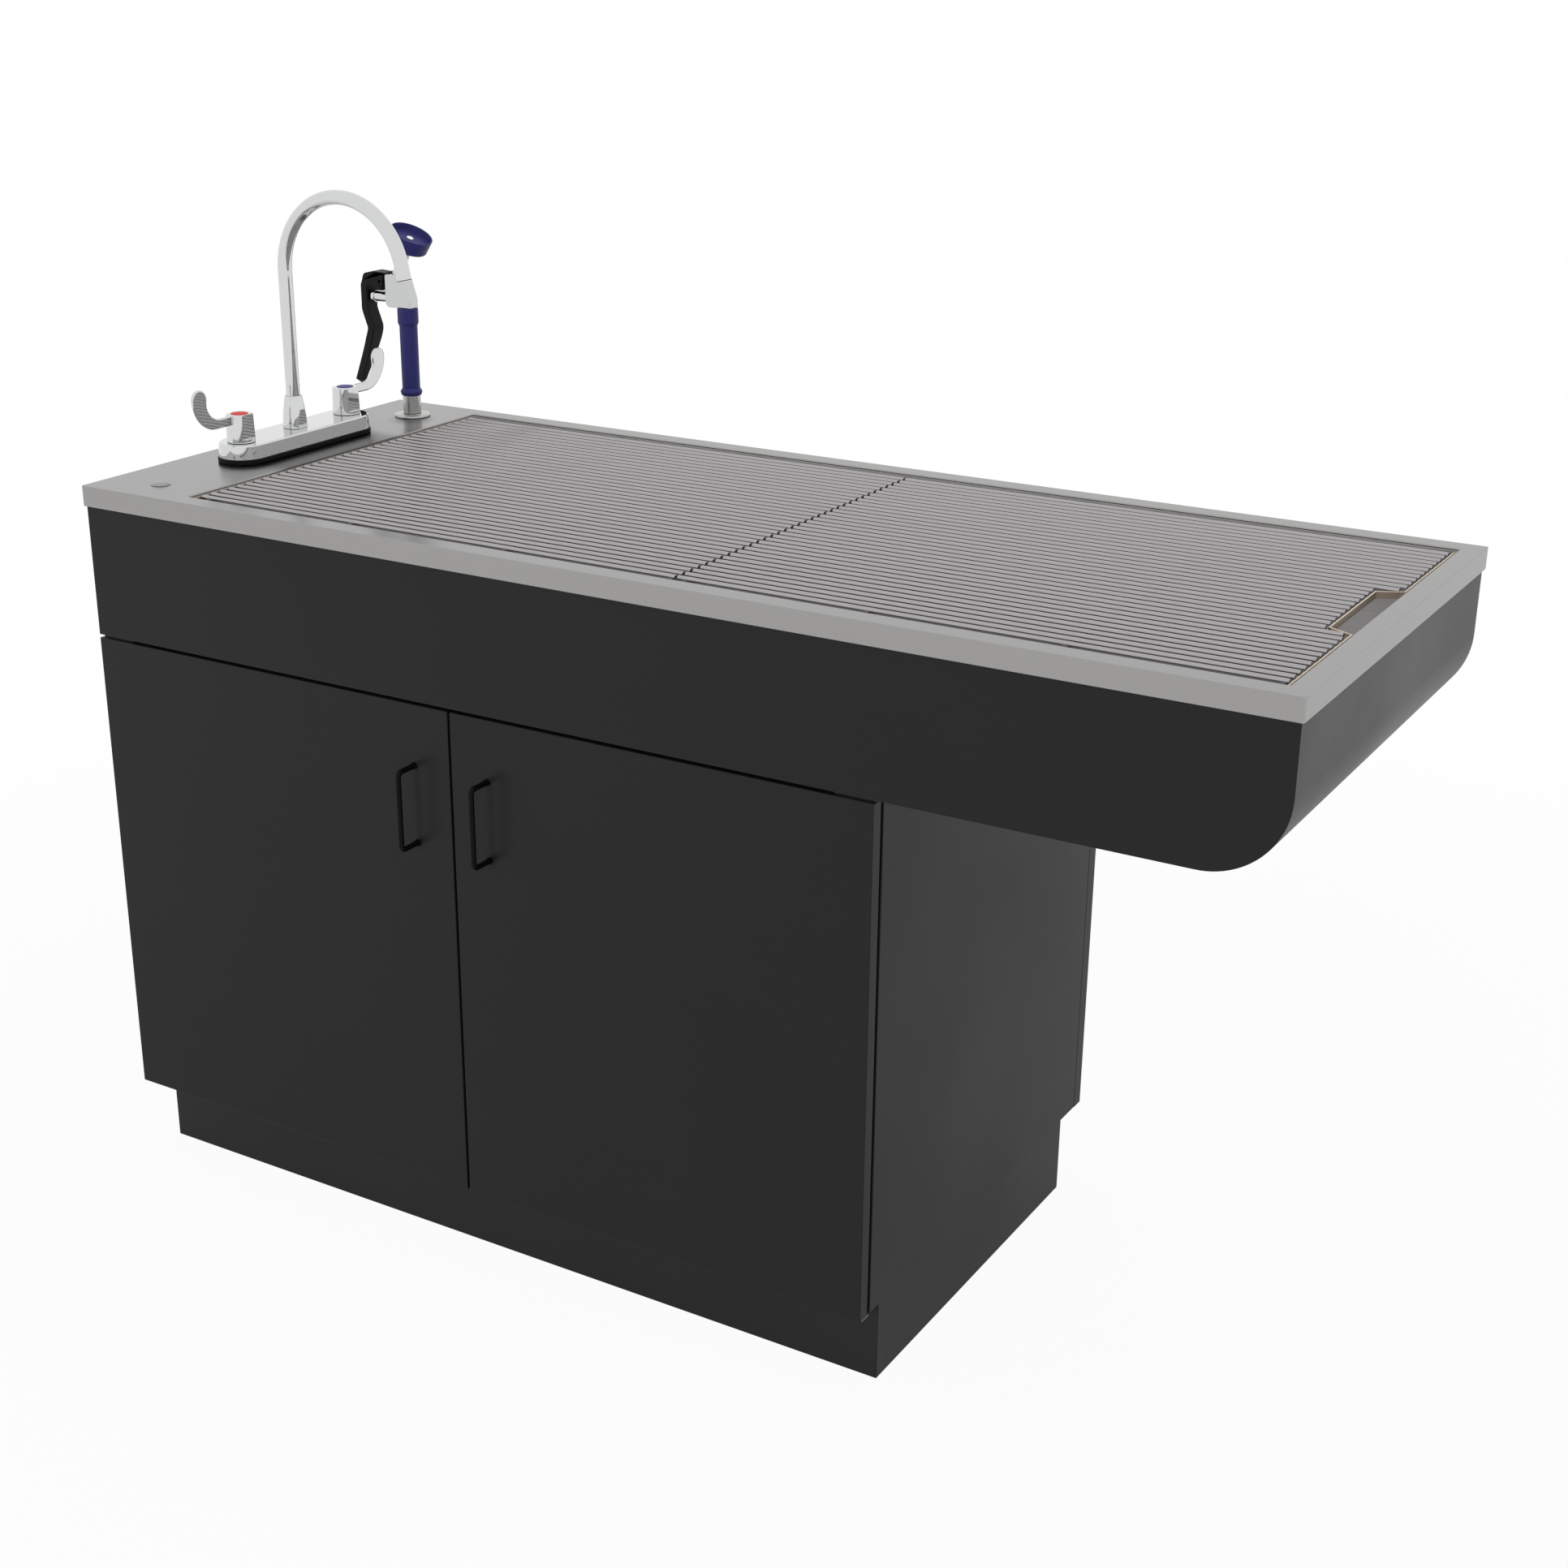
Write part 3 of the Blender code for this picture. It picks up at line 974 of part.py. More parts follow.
def build_trigger(chrome, black):
    """The lever that hooks over the valve body, and the plunger that it pushes in."""
    half = LEVER_WIDTH / 2
    lever = make_prism("spray_lever", "XZ", lever_outline(), SPRAY_Y - half, SPRAY_Y + half, black)
    slot_half = EAR_WIDTH / 2 + 2 * SEAT_GAP
    slot_left = LEVER_PIVOT_X - EAR_RADIUS - 2 * SEAT_GAP
    slot = make_box("lever_slot", (slot_left, SPRAY_Y - slot_half, VALVE_TOP - LEVER_ARM_HEIGHT - CUT_OVERRUN),
                    (SPRAY_X - VALVE_REACH + CUT_OVERRUN, SPRAY_Y + slot_half, VALVE_TOP + SEAT_GAP), black)
    tools = [cut(lever, slot)]
    plate_top = VALVE_TOP + SEAT_GAP + LEVER_TOP_PLATE
    taper_top = plate_top - LEVER_LENGTH * LEVER_TAPER_SHARE
    taper_low = plate_top - LEVER_LENGTH - CUT_OVERRUN
    for side, side_name in ((-1, "front"), (1, "back")):
        wedge = [(SPRAY_Y + side * half, taper_top), (SPRAY_Y + side * LEVER_TIP_WIDTH / 2, taper_low),
                 (SPRAY_Y + side * LEVER_WIDTH, taper_low), (SPRAY_Y + side * LEVER_WIDTH, taper_top)]
        tools.append(cut(lever, make_prism("lever_taper_" + side_name, "YZ", wedge,
                                           PLUNGER_TIP_X - LEVER_LENGTH, PLUNGER_TIP_X + LEVER_LENGTH,
                                           black)))
    tools.append(cut(lever, make_cylinder("lever_pin_hole", "Y", (LEVER_PIVOT_X, LEVER_PIVOT_Z),
                                          LEVER_PIN_RADIUS + SEAT_GAP, SPRAY_Y - LEVER_WIDTH,
                                          SPRAY_Y + LEVER_WIDTH, PIN_SIDES, black)))
    hang_on([lever, *tools], add_empty("spray_lever_axis", Vector((LEVER_PIVOT_X, SPRAY_Y, LEVER_PIVOT_Z))))
    length = PLUNGER_REACH + PLUNGER_INSERTION
    profile = [(0, 0)]
    edge_angle = asin(PLUNGER_HEAD_RADIUS / PLUNGER_DOME_RADIUS)
    for step in range(1, CORNER_STEPS + 1):
        angle = edge_angle * step / CORNER_STEPS
        profile.append((PLUNGER_DOME_RADIUS * sin(angle), PLUNGER_DOME_RADIUS * (1 - cos(angle))))
    profile += [(PLUNGER_HEAD_RADIUS, PLUNGER_HEAD_LENGTH), (PLUNGER_RADIUS, PLUNGER_HEAD_LENGTH),
                (PLUNGER_RADIUS, length), (0, length)]
    plunger = make_turned("spray_plunger", profile, Vector((PLUNGER_TIP_X, SPRAY_Y, PLUNGER_LEVEL)),
                          TUBE_SIDES, chrome, lean=pi / 2)
    hang_on([plunger], add_empty("spray_plunger_axis", Vector((PLUNGER_TIP_X, SPRAY_Y, PLUNGER_LEVEL))))


def build_plug(steel):
    """The domed plug in the deck's spare hole."""
    base = TOP_HEIGHT + SEAT_GAP
    end = TOP_HEIGHT - PLUG_STEM_DROP
    profile = [(0, end), (PLUG_STEM_RADIUS, end), (PLUG_STEM_RADIUS, base), (PLUG_RADIUS, base),
               (PLUG_RADIUS - PLUG_HEIGHT, base + PLUG_HEIGHT * 3 / 4), (0, base + PLUG_HEIGHT)]
    make_turned("hole_plug", profile, Vector((X_LEFT + PLUG_FROM_LEFT, Y_FRONT + PLUG_FROM_FRONT, 0)),
                TURNED_SIDES, steel)


def build_grate(name, left, right, notched, steel):
    """A grate: a row of rods along X welded on top of flat cross bars. The right-hand grate has a
    notch with splayed corners at its right end, over the sump."""
    rod_level = TOP_HEIGHT - ROD_TOP_DROP - ROD_RADIUS
    bar_top = rod_level - ROD_RADIUS + ROD_WELD
    bar_low = LEDGE_LEVEL + SEAT_GAP
    bar_end = OPEN_BACK - GRATE_END_GAP
    last_bar = right - BAR_INSET
    bars = bmesh.new()
    straight = BARS_PER_GRATE - 1 if notched else BARS_PER_GRATE
    spacing = (last_bar - left - BAR_INSET) / (BARS_PER_GRATE - 1)
    for index in range(straight):
        middle = left + BAR_INSET + spacing * index
        add_box_faces(bars, (middle - BAR_WIDTH / 2, -bar_end, bar_low), (middle + BAR_WIDTH / 2, bar_end, bar_top))
    inner_bar = last_bar - NOTCH_DEPTH
    if notched:
        splay_end = NOTCH_HALF_LENGTH + NOTCH_SPLAY
        line = [(last_bar, -bar_end), (last_bar, -splay_end), (inner_bar, -NOTCH_HALF_LENGTH),
                (inner_bar, NOTCH_HALF_LENGTH), (last_bar, splay_end), (last_bar, bar_end)]
        add_prism_faces(bars, "XY", strip_outline(line, BAR_WIDTH), bar_low, bar_top)
    grate = make_object(name, bars, steel)
    rods = bmesh.new()
    rods_each_side = int(bar_end / ROD_PITCH)
    for from_middle in range(-rods_each_side, rods_each_side + 1):
        y = from_middle * ROD_PITCH
        end = right
        if notched and abs(from_middle) <= NOTCH_RODS_EACH_SIDE:
            end = inner_bar - BAR_WIDTH / 2 + ROD_LAP
        elif notched and abs(from_middle) == NOTCH_RODS_EACH_SIDE + 1:
            end = last_bar - BAR_WIDTH / 2 + ROD_LAP
        outline = arc((y, rod_level), ROD_RADIUS, pi / 2, pi / 2 + 2 * pi, ROD_SIDES)[:-1]
        add_prism_faces(rods, "YZ", outline, left, end)
    tool = fuse(grate, make_object(name + "_rods", rods, steel))
    hang_on([grate, tool], add_empty(name + "_axis", Vector(((left + right) / 2, 0, bar_low))))


def build_table():
    """Build every piece of the table."""
    clear_scene()
    panel = make_material("black_panel", (0.028, 0.027, 0.027), 0.45, 0.0)
    plinth = make_material("black_plinth", (0.030, 0.028, 0.028), 0.50, 0.0)
    steel = make_material("stainless_steel", (0.55, 0.55, 0.54), 0.32, 1.0)
    chrome = make_material("chrome", (0.80, 0.80, 0.80), 0.08, 1.0)
    brass = make_material("valve_brass", (0.55, 0.43, 0.22), 0.35, 1.0)
    hinge_steel = make_material("hinge_steel", (0.10, 0.10, 0.10), 0.45, 1.0)
    wire = make_material("black_wire", (0.012, 0.012, 0.012), 0.40, 0.0)
    rubber = make_material("black_rubber", (0.012, 0.011, 0.010), 0.60, 0.0)
    blue = make_material("blue_plastic", (0.045, 0.040, 0.160), 0.45, 0.0)
    lever_black = make_material("lever_plastic", (0.015, 0.014, 0.013), 0.45, 0.0)
    red_cap = make_material("red_cap", (0.75, 0.025, 0.025), 0.35, 0.0)
    blue_cap = make_material("blue_cap", (0.065, 0.048, 0.22), 0.35, 0.0)
    pipe = make_material("pipe_plastic", (0.70, 0.70, 0.68), 0.45, 0.0)

    build_plinth(plinth)
    build_cabinet(panel)
    build_door("left_door", CABINET_LEFT, 1, panel, hinge_steel, wire)
    build_door("right_door", CABINET_RIGHT, -1, panel, hinge_steel, wire)
    build_apron(panel)
    build_top(steel)
    build_basin(steel)
    build_drain(steel, pipe)
    socket_top = build_faucet_base(chrome, rubber, brass)
    build_spout(socket_top, chrome)
    build_handle("hot", -1, chrome, red_cap)
    build_handle("cold", 1, chrome, blue_cap)
    build_spray_holder(chrome, brass)
    build_spray_gun(chrome, blue, lever_black, hinge_steel)
    build_plug(steel)
    split = X_LEFT + GRATE_SPLIT_FROM_LEFT
    build_grate("left_grate", OPEN_LEFT + GRATE_END_GAP, split - GRATE_SPLIT_GAP / 2, False, steel)
    build_grate("right_grate", split + GRATE_SPLIT_GAP / 2, OPEN_RIGHT - GRATE_END_GAP, True, steel)


build_table()
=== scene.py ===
from math import radians, pi

import bpy
import bmesh
import numpy as np
from bpy.props import FloatProperty, FloatVectorProperty, IntProperty, PointerProperty
from bpy.types import Operator, Panel, PropertyGroup
from mathutils import Matrix, Vector


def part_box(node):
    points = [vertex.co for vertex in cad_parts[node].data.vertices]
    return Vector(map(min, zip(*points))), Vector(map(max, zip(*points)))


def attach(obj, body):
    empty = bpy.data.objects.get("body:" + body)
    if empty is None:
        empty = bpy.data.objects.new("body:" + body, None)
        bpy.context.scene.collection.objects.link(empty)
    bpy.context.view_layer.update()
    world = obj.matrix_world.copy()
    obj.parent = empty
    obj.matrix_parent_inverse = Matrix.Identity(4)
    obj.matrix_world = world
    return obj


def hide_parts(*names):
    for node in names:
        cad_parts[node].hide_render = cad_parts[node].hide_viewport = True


bl_info = {
    "name": "Veterinary Wet Table",
    "version": (1, 0, 0),
    "blender": (4, 5, 0),
    "location": "3D View > Sidebar > Wet Table",
    "description": "Finishes the packed wet table with softened edges, round rods, chrome and light",
    "category": "Object",
}

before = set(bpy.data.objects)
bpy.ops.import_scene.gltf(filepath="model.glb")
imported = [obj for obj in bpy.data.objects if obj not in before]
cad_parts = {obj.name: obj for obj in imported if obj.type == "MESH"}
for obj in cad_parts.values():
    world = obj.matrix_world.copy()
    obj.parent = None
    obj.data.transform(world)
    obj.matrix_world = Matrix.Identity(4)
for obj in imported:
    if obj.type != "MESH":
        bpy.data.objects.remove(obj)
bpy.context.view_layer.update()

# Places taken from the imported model
TOP_LOW, TOP_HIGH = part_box("top_frame")
BASIN_LOW, BASIN_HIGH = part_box("basin")
PLATE_LOW, PLATE_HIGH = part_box("faucet_plate")
GASKET_LOW, GASKET_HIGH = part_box("faucet_gasket")
SOCKET_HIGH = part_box("spout_socket")[1]
GRIP_LOW, GRIP_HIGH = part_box("spray_grip")
FERRULE_LOW, FERRULE_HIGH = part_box("spray_ferrule")
FLANGE_LOW, FLANGE_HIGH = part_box("spray_flange")
VALVE_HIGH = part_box("spray_valve_body")[1]
LEVER_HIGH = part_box("spray_lever")[1]
PLUNGER_LOW, PLUNGER_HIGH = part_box("spray_plunger")
PLUG_LOW, PLUG_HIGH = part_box("hole_plug")
FAUCET_X = (PLATE_LOW.x + PLATE_HIGH.x) / 2
SPRAY_X = (GRIP_LOW.x + GRIP_HIGH.x) / 2
SPRAY_Y = (GRIP_LOW.y + GRIP_HIGH.y) / 2
VALVE_FACE_X = SPRAY_X - 0.0305
LEVER_PIVOT_X = SPRAY_X - 0.038
LEVER_PIVOT_Z = GRIP_HIGH.z + 0.0338
BUMPER_X = SPRAY_X + 0.004
BUMPER_Z = GRIP_HIGH.z + 0.0815
BUMPER_LEAN = radians(26.0)

# The air between two parts that rest on each other
SEAT_GAP = 0.0003

# How many times rounder a board's corners are than its edges
CORNER_SHARE = 1.3


def length(name, text, value, low, high):
    """A length in metres."""
    return FloatProperty(name=name, description=text, default=value, min=low, max=high, unit="LENGTH")


def linear_colour(name, text, *value):
    """A colour in linear values."""
    return FloatVectorProperty(
        name=name, description=text, default=value, size=3, subtype="COLOR", min=0.0, max=1.0)


class WetTableSizes(PropertyGroup):
    """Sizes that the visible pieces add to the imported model."""

    board_edge: length("Board edge", "Rounding along the edges of the black boards", 0.0009, 0.0002, 0.003)
    steel_edge: length("Steel edge", "Outside radius of the bend from rim to skirt", 0.0007, 0.0003, 0.003)
    steel_sheet: length("Steel sheet", "Thickness of the steel top", 0.002, 0.001, 0.003)
    rim_corner: length("Rim corner", "Radius of the rim's corners, seen from above", 0.0022, 0.0005, 0.01)
    rod_radius: length("Rod radius", "Radius of a grate rod", 0.003175, 0.002, 0.005)
    rod_pitch: length("Rod pitch", "Distance from one grate rod to the next", 0.01524, 0.008, 0.03)
    bar_width: length("Cross bar width", "Width of the flat bars under the rods", 0.00635, 0.003, 0.02)
    spout_radius: length("Spout radius", "Outside radius of the gooseneck tube", 0.0091, 0.005, 0.015)
    round_sides: IntProperty(
        name="Round sides", description="Facets round a turned piece", default=56, min=16, max=96)


class WetTableColours(PropertyGroup):
    """Colours of the finishes, in linear values."""

    laminate: linear_colour("Laminate", "Laminate of the doors, sides and apron", 0.0175, 0.0171, 0.0169)
    plinth: linear_colour("Plinth", "Black board of the recessed base", 0.0225, 0.022, 0.0217)
    steel: linear_colour("Stainless steel", "Brushed steel of the top and basin", 0.35, 0.345, 0.341)
    rod: linear_colour("Grate rods", "Bright drawn rods of the grates", 0.395, 0.381, 0.386)
    chrome: linear_colour("Chrome", "Plating of the faucet and spray", 0.65, 0.655, 0.66)
    blue: linear_colour("Blue moulding", "Grip and bumper of the hand spray", 0.03, 0.029, 0.158)
    lever: linear_colour("Black moulding", "Trigger lever of the hand spray", 0.01, 0.0095, 0.009)
    pull: linear_colour("Black wire", "Powder coat of the door pulls", 0.004, 0.004, 0.004)
    rubber: linear_colour("Black rubber", "Gasket under the faucet", 0.0045, 0.0044, 0.0042)
    red_cap: linear_colour("Red cap", "Cap of the hot handle", 0.8, 0.014, 0.014)
    blue_cap: linear_colour("Blue cap", "Cap of the cold handle", 0.045, 0.05, 0.25)
    floor: linear_colour("Floor", "Studio floor", 0.8, 0.8, 0.8)


def table_sizes():
    """The sizes of the scene."""
    return bpy.context.scene.wet_table_sizes


def table_colours():
    """The colours of the scene."""
    return bpy.context.scene.wet_table_colours


# Surfaces worked out with numpy

CORNER_STEPS = 4
SHARP_ANGLE = radians(34)


def round_corners(corners, radii, closed=True, steps=CORNER_STEPS):
    """A flat line with rounded corners, as points and normals. In each corner the normal swings
    evenly from the first edge's normal to the second one's, and the point is the arc's centre plus
    the radius times the normal, or minus it where the line turns the other way. Normals point to
    the right of the way the line runs, so an outline runs anticlockwise."""
    corners = np.asarray(corners, float)
    count = len(corners)
    radii = np.broadcast_to(np.asarray(radii, float), count)
    ways = np.roll(corners, -1, axis=0) - corners
    ways = ways / np.maximum(np.linalg.norm(ways, axis=1, keepdims=True), 1e-12)
    share = np.linspace(0.0, 1.0, steps + 1)
    places, normals = [], []
    for index in range(count):
        arriving, leaving = ways[index - 1], ways[index]
        if not closed and index == 0:
            arriving = leaving
        if not closed and index == count - 1:
            leaving = arriving
        square = np.array((arriving[1], -arriving[0]))
        turn = np.arctan2(arriving[0] * leaving[1] - arriving[1] * leaving[0], arriving @ leaving)
        if radii[index] == 0.0 or abs(turn) < 1e-6:
            places.append(corners[index][None])
            middle = square + np.array((leaving[1], -leaving[0]))
            normals.append((middle / np.linalg.norm(middle))[None])
            continue
        angle = turn * share
        normal = np.stack((square[0] * np.cos(angle) - square[1] * np.sin(angle),
                           square[0] * np.sin(angle) + square[1] * np.cos(angle)), axis=1)
        start = corners[index] - arriving * radii[index] * np.tan(abs(turn) / 2)
        reach = np.sign(turn) * radii[index]
        places.append(start - reach * square + reach * normal)
        normals.append(normal)
    return np.concatenate(places), np.concatenate(normals)


def flowing_line(points, count):
    """A smooth flat line through points: between two points it is the cubic whose slope at each
    is half the step from the point before to the point after."""
    points = np.asarray(points, float)
    padded = np.concatenate((2 * points[:1] - points[1:2], points, 2 * points[-1:] - points[-2:-1]))
    along = np.linspace(0.0, len(points) - 1.000001, count)
    index = along.astype(int)
    t = (along - index)[:, None]
    before, start, end, after = (padded[index + shift] for shift in range(4))
    return 0.5 * (2 * start + (end - before) * t + (2 * before - 5 * start + 4 * end - after) * t ** 2
                  + (3 * start - before - 3 * end + after) * t ** 3)


def line_normals(points, closed=False):
    """Normals to the right of a flat line, square to the step from the point before each point to
    the point after it."""
    if closed:
        steps = np.roll(points, -1, axis=0) - np.roll(points, 1, axis=0)
    else:
        steps = np.gradient(points, axis=0)
    steps = steps / np.linalg.norm(steps, axis=1, keepdims=True)
    return np.stack((steps[:, 1], -steps[:, 0]), axis=1)


def strip_line(line, width):
    """The outline of a flat bar along a bent line: the line moved by half the width to either side,
    with the corners mitred, which is the half width divided by the cosine of half the turn."""
    line = np.asarray(line, float)
    ways = np.diff(line, axis=0)
    ways = ways / np.linalg.norm(ways, axis=1, keepdims=True)
    sides = np.stack((ways[:, 1], -ways[:, 0]), axis=1)
    before, after = np.concatenate((sides[:1], sides)), np.concatenate((sides, sides[-1:]))
    mitre = before + after
    mitre = mitre / np.sum(mitre * before, axis=1, keepdims=True)
    return np.concatenate((line + mitre * width / 2, (line - mitre * width / 2)[::-1]))


def anticlockwise(outline):
    """The outline, turned round if its signed area, half the sum of the cross products of its
    points, is negative."""
    outline = np.asarray(outline, float)
    following = np.roll(outline, -1, axis=0)
    area = np.sum(outline[:, 0] * following[:, 1] - outline[:, 1] * following[:, 0])
    return outline if area > 0 else outline[::-1]


def lift(plane, flat, depth):
    """Flat points set in space at a depth along the axis that the plane's name leaves out."""
    depth = np.broadcast_to(np.asarray(depth, float), flat.shape[:-1])
    order = {"XY": (flat[..., 0], flat[..., 1], depth), "XZ": (flat[..., 0], depth, flat[..., 1]),
             "YZ": (depth, flat[..., 0], flat[..., 1])}[plane]
    return np.stack(order, axis=-1)


def carry(plane, outline, normals, profile):
    """An outline carried along its axis: ring i is the outline moved out along its normals by the
    profile's first number, at the depth of its second."""
    profile = np.asarray(profile, float)
    rings = outline[None] + normals[None] * profile[:, 0, None, None]
    return lift(plane, rings, profile[:, 1, None])


def soft_ends(start, end, start_edge, end_edge):
    """The profile of a prism with each end's edge rounded by a quarter circle. An edge of zero
    leaves that end square."""
    line, radii = [(0.0, start)], [0.0]
    if start_edge:
        line, radii = [(-1.15 * start_edge, start), (0.0, start)], [0.0, start_edge]
    line.append((0.0, end))
    radii.append(end_edge)
    if end_edge:
        line.append((-1.15 * end_edge, end))
        radii.append(0.0)
    return round_corners(line, radii, closed=False)[0]


def rectangle_rings(x_low, x_high, y_low, y_high, corner, steps=CORNER_STEPS):
    """Rounded rectangles, one for each entry of the arrays: the corner's middle plus the corner
    radius times the cosine and sine of an angle that goes once round."""
    angle = (np.arange(4)[:, None] + np.linspace(0.0, 1.0, steps + 1)).reshape(-1) * pi / 2
    quarter = np.repeat(np.arange(4), steps + 1)
    right, back = np.isin(quarter, (0, 3)), quarter < 2
    values = [np.atleast_1d(np.asarray(value, float)) for value in (x_low, x_high, y_low, y_high, corner)]
    x_low, x_high, y_low, y_high, corner = (value[:, None] for value in np.broadcast_arrays(*values))
    x = np.where(right, x_high - corner, x_low + corner) + corner * np.cos(angle)
    y = np.where(back, y_high - corner, y_low + corner) + corner * np.sin(angle)
    return np.stack((x, y), axis=-1)


def slab(low, high, edge, square=False):
    """A board with rounded edges: rectangles that grow from the bottom by a quarter circle, go
    straight up, and shrink again at the top. A square board has a rounded outline seen from the
    front, but flat ends there, so that two boards meet without a seam."""
    low, high = Vector(low), Vector(high)
    if square:
        flat = rectangle_rings(low.x, high.x, low.z, high.z, edge)[0]
        return carry("XZ", flat, np.zeros_like(flat), ((0.0, low.y), (0.0, high.y)))
    profile = soft_ends(low.z, high.z, edge, edge)
    inset = -profile[:, 0]
    rings = rectangle_rings(low.x + inset, high.x - inset, low.y + inset, high.y - inset,
                            np.maximum(edge * CORNER_SHARE - inset, edge * 0.05))
    return lift("XY", rings, profile[:, 1, None])


def turned(profile, radii, place, lean=0.0, sides=None, closed=False, steps=CORNER_STEPS):
    """A turned piece: a line of (radius, height) pairs with rounded corners goes once round a
    vertical axis, as (radius cos a, radius sin a, height), and lean tips the axis towards +X."""
    line = round_corners(profile, radii, closed=closed, steps=steps)[0]
    sides = sides or table_sizes().round_sides
    angle = np.arange(sides) * 2 * pi / sides
    radius, height = line[:, 0, None], line[:, 1, None]
    x, y = radius * np.cos(angle), radius * np.sin(angle)
    z = np.broadcast_to(height, x.shape)
    rings = np.stack((x * np.cos(lean) + z * np.sin(lean), y, z * np.cos(lean) - x * np.sin(lean)), axis=-1)
    return rings + np.asarray(place, float)


def flatted_rings(radius, flat, soften, sides):
    """Circles cut by two flats square to X, with soft corners: each point is the point of the
    smaller cut circle whose normal has the angle a, plus the softening radius along that normal.
    The flats' distance from the axis may differ from ring to ring."""
    half = np.linspace(0.0, pi, sides // 2)
    angle = np.concatenate((half, half + pi))
    way = np.concatenate((np.ones(len(half)), -np.ones(len(half))))
    inner = np.asarray(radius, float)[:, None] - soften
    flat = np.broadcast_to(np.asarray(flat, float), len(inner))[:, None]
    x = np.clip(inner * np.cos(angle), soften - flat, flat - soften)
    y = way * np.sqrt(np.maximum(inner ** 2 - x ** 2, 0.0))
    return np.stack((x + soften * np.cos(angle), y + soften * np.sin(angle)), axis=-1)


def tube(plane, line, depth, radius, sides):
    """A round tube along a flat line: the line's point plus the radius times (cos a along the
    line's normal, sin a square to its plane)."""
    normals = line_normals(line)
    angle = np.arange(sides) * 2 * pi / sides
    radius = np.broadcast_to(np.asarray(radius, float), len(line))[:, None]
    flat = line[:, None] + normals[:, None] * (radius * np.cos(angle))[..., None]
    return lift(plane, flat, depth + radius * np.sin(angle))


def skin(rings, loop=False):
    """Square faces over a grid of rings, as points and faces. The first and last ring are closed
    with one face each, or joined to each other where the rings form a loop."""
    rows, columns = rings.shape[:2]
    index = np.arange(rows * columns).reshape(rows, columns)
    upper = np.roll(index, -1, axis=0) if loop else index[1:]
    lower = index if loop else index[:-1]
    faces = np.stack((lower, np.roll(lower, -1, axis=1), np.roll(upper, -1, axis=1), upper), axis=-1)
    faces = faces.reshape(-1, 4).tolist()
    if not loop:
        faces += [index[0][::-1].tolist(), index[-1].tolist()]
    return rings.reshape(-1, 3), faces


def make_piece(name, shells, material, body, slot, *nodes, loop=False):
    """Join closed shells, each a grid of rings, into one piece that rides on a body and stands for
    its CAD nodes. Face normals point outwards, edges sharper than the limit stay sharp, and large
    faces stay flat."""
    points, faces, start = [], [], 0
    for rings in shells:
        shell_points, shell_faces = skin(rings, loop)
        points.append(shell_points)
        faces += [[corner + start for corner in face] for face in shell_faces]
        start += len(shell_points)
    mesh = bpy.data.meshes.new(name)
    mesh.from_pydata(np.concatenate(points).tolist(), [], faces)
    shape = bmesh.new()
    shape.from_mesh(mesh)
    bmesh.ops.remove_doubles(shape, verts=shape.verts, dist=1e-6)
    bmesh.ops.recalc_face_normals(shape, faces=shape.faces)
    shape.to_mesh(mesh)
    shape.free()
    mesh.materials.append(bpy.data.materials[material])
    mesh.shade_smooth()
    mesh.set_sharp_from_angle(angle=SHARP_ANGLE)
    piece = bpy.data.objects.new(name, mesh)
    bpy.context.scene.collection.objects.link(piece)
    even = piece.modifiers.new("Flat faces", "WEIGHTED_NORMAL")
    even.keep_sharp = True
    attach(piece, body)
    if nodes:
        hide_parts(*nodes)


def coat(material, *names):
    """Give CAD nodes a finish."""
    for name in names:
        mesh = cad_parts[name].data
        mesh.materials.clear()
        mesh.materials.append(bpy.data.materials[material])


# Finishes

def add_node(tree, kind, values=(), **settings):
    """A shader node with its settings, and the values of some of its inputs."""
    node = tree.nodes.new("ShaderNode" + kind)
    for label, value in settings.items():
        setattr(node, label, value)
    for label, value in dict(values).items():
        node.inputs[label].default_value = value
    return node


def link_all(tree, *links):
    """Join nodes: each link names a node, its output, the next node and its input."""
    for source, output, target, entry in links:
        tree.links.new(source.outputs[output], target.inputs[entry])


def effect_group(name, inputs, outputs):
    """An empty shader node group with named inputs of given kinds, and outputs for values."""
    group = bpy.data.node_groups.new(name, "ShaderNodeTree")
    for label, kind in inputs:
        group.interface.new_socket(name=label, in_out="INPUT", socket_type="NodeSocket" + kind)
    for label in outputs:
        group.interface.new_socket(name=label, in_out="OUTPUT", socket_type="NodeSocketFloat")
    return group, group.nodes.new("NodeGroupInput"), group.nodes.new("NodeGroupOutput")


def grain_group():
    """Drawn or brushed metal: noise stretched along the way of the grain, and a softer streak that
    is about six times as coarse."""
    group, given, made = effect_group(
        "Metal grain", (("Vector", "Vector"), ("Stretch", "Vector"), ("Scale", "Float")),
        ("Height", "Streak"))
    stretched = add_node(group, "VectorMath", operation="MULTIPLY")
    fine = add_node(group, "TexNoise", {"Detail": 5.0, "Roughness": 0.65})
    slow = add_node(group, "TexNoise", {"Detail": 2.0})
    slower = add_node(group, "Math", {1: 0.16}, operation="MULTIPLY")
    link_all(group, (given, "Vector", stretched, 0), (given, "Stretch", stretched, 1),
             (stretched, 0, fine, "Vector"), (given, "Scale", fine, "Scale"),
             (stretched, 0, slow, "Vector"), (given, "Scale", slower, 0), (slower, 0, slow, "Scale"),
             (fine, "Fac", made, "Height"), (slow, "Fac", made, "Streak"))


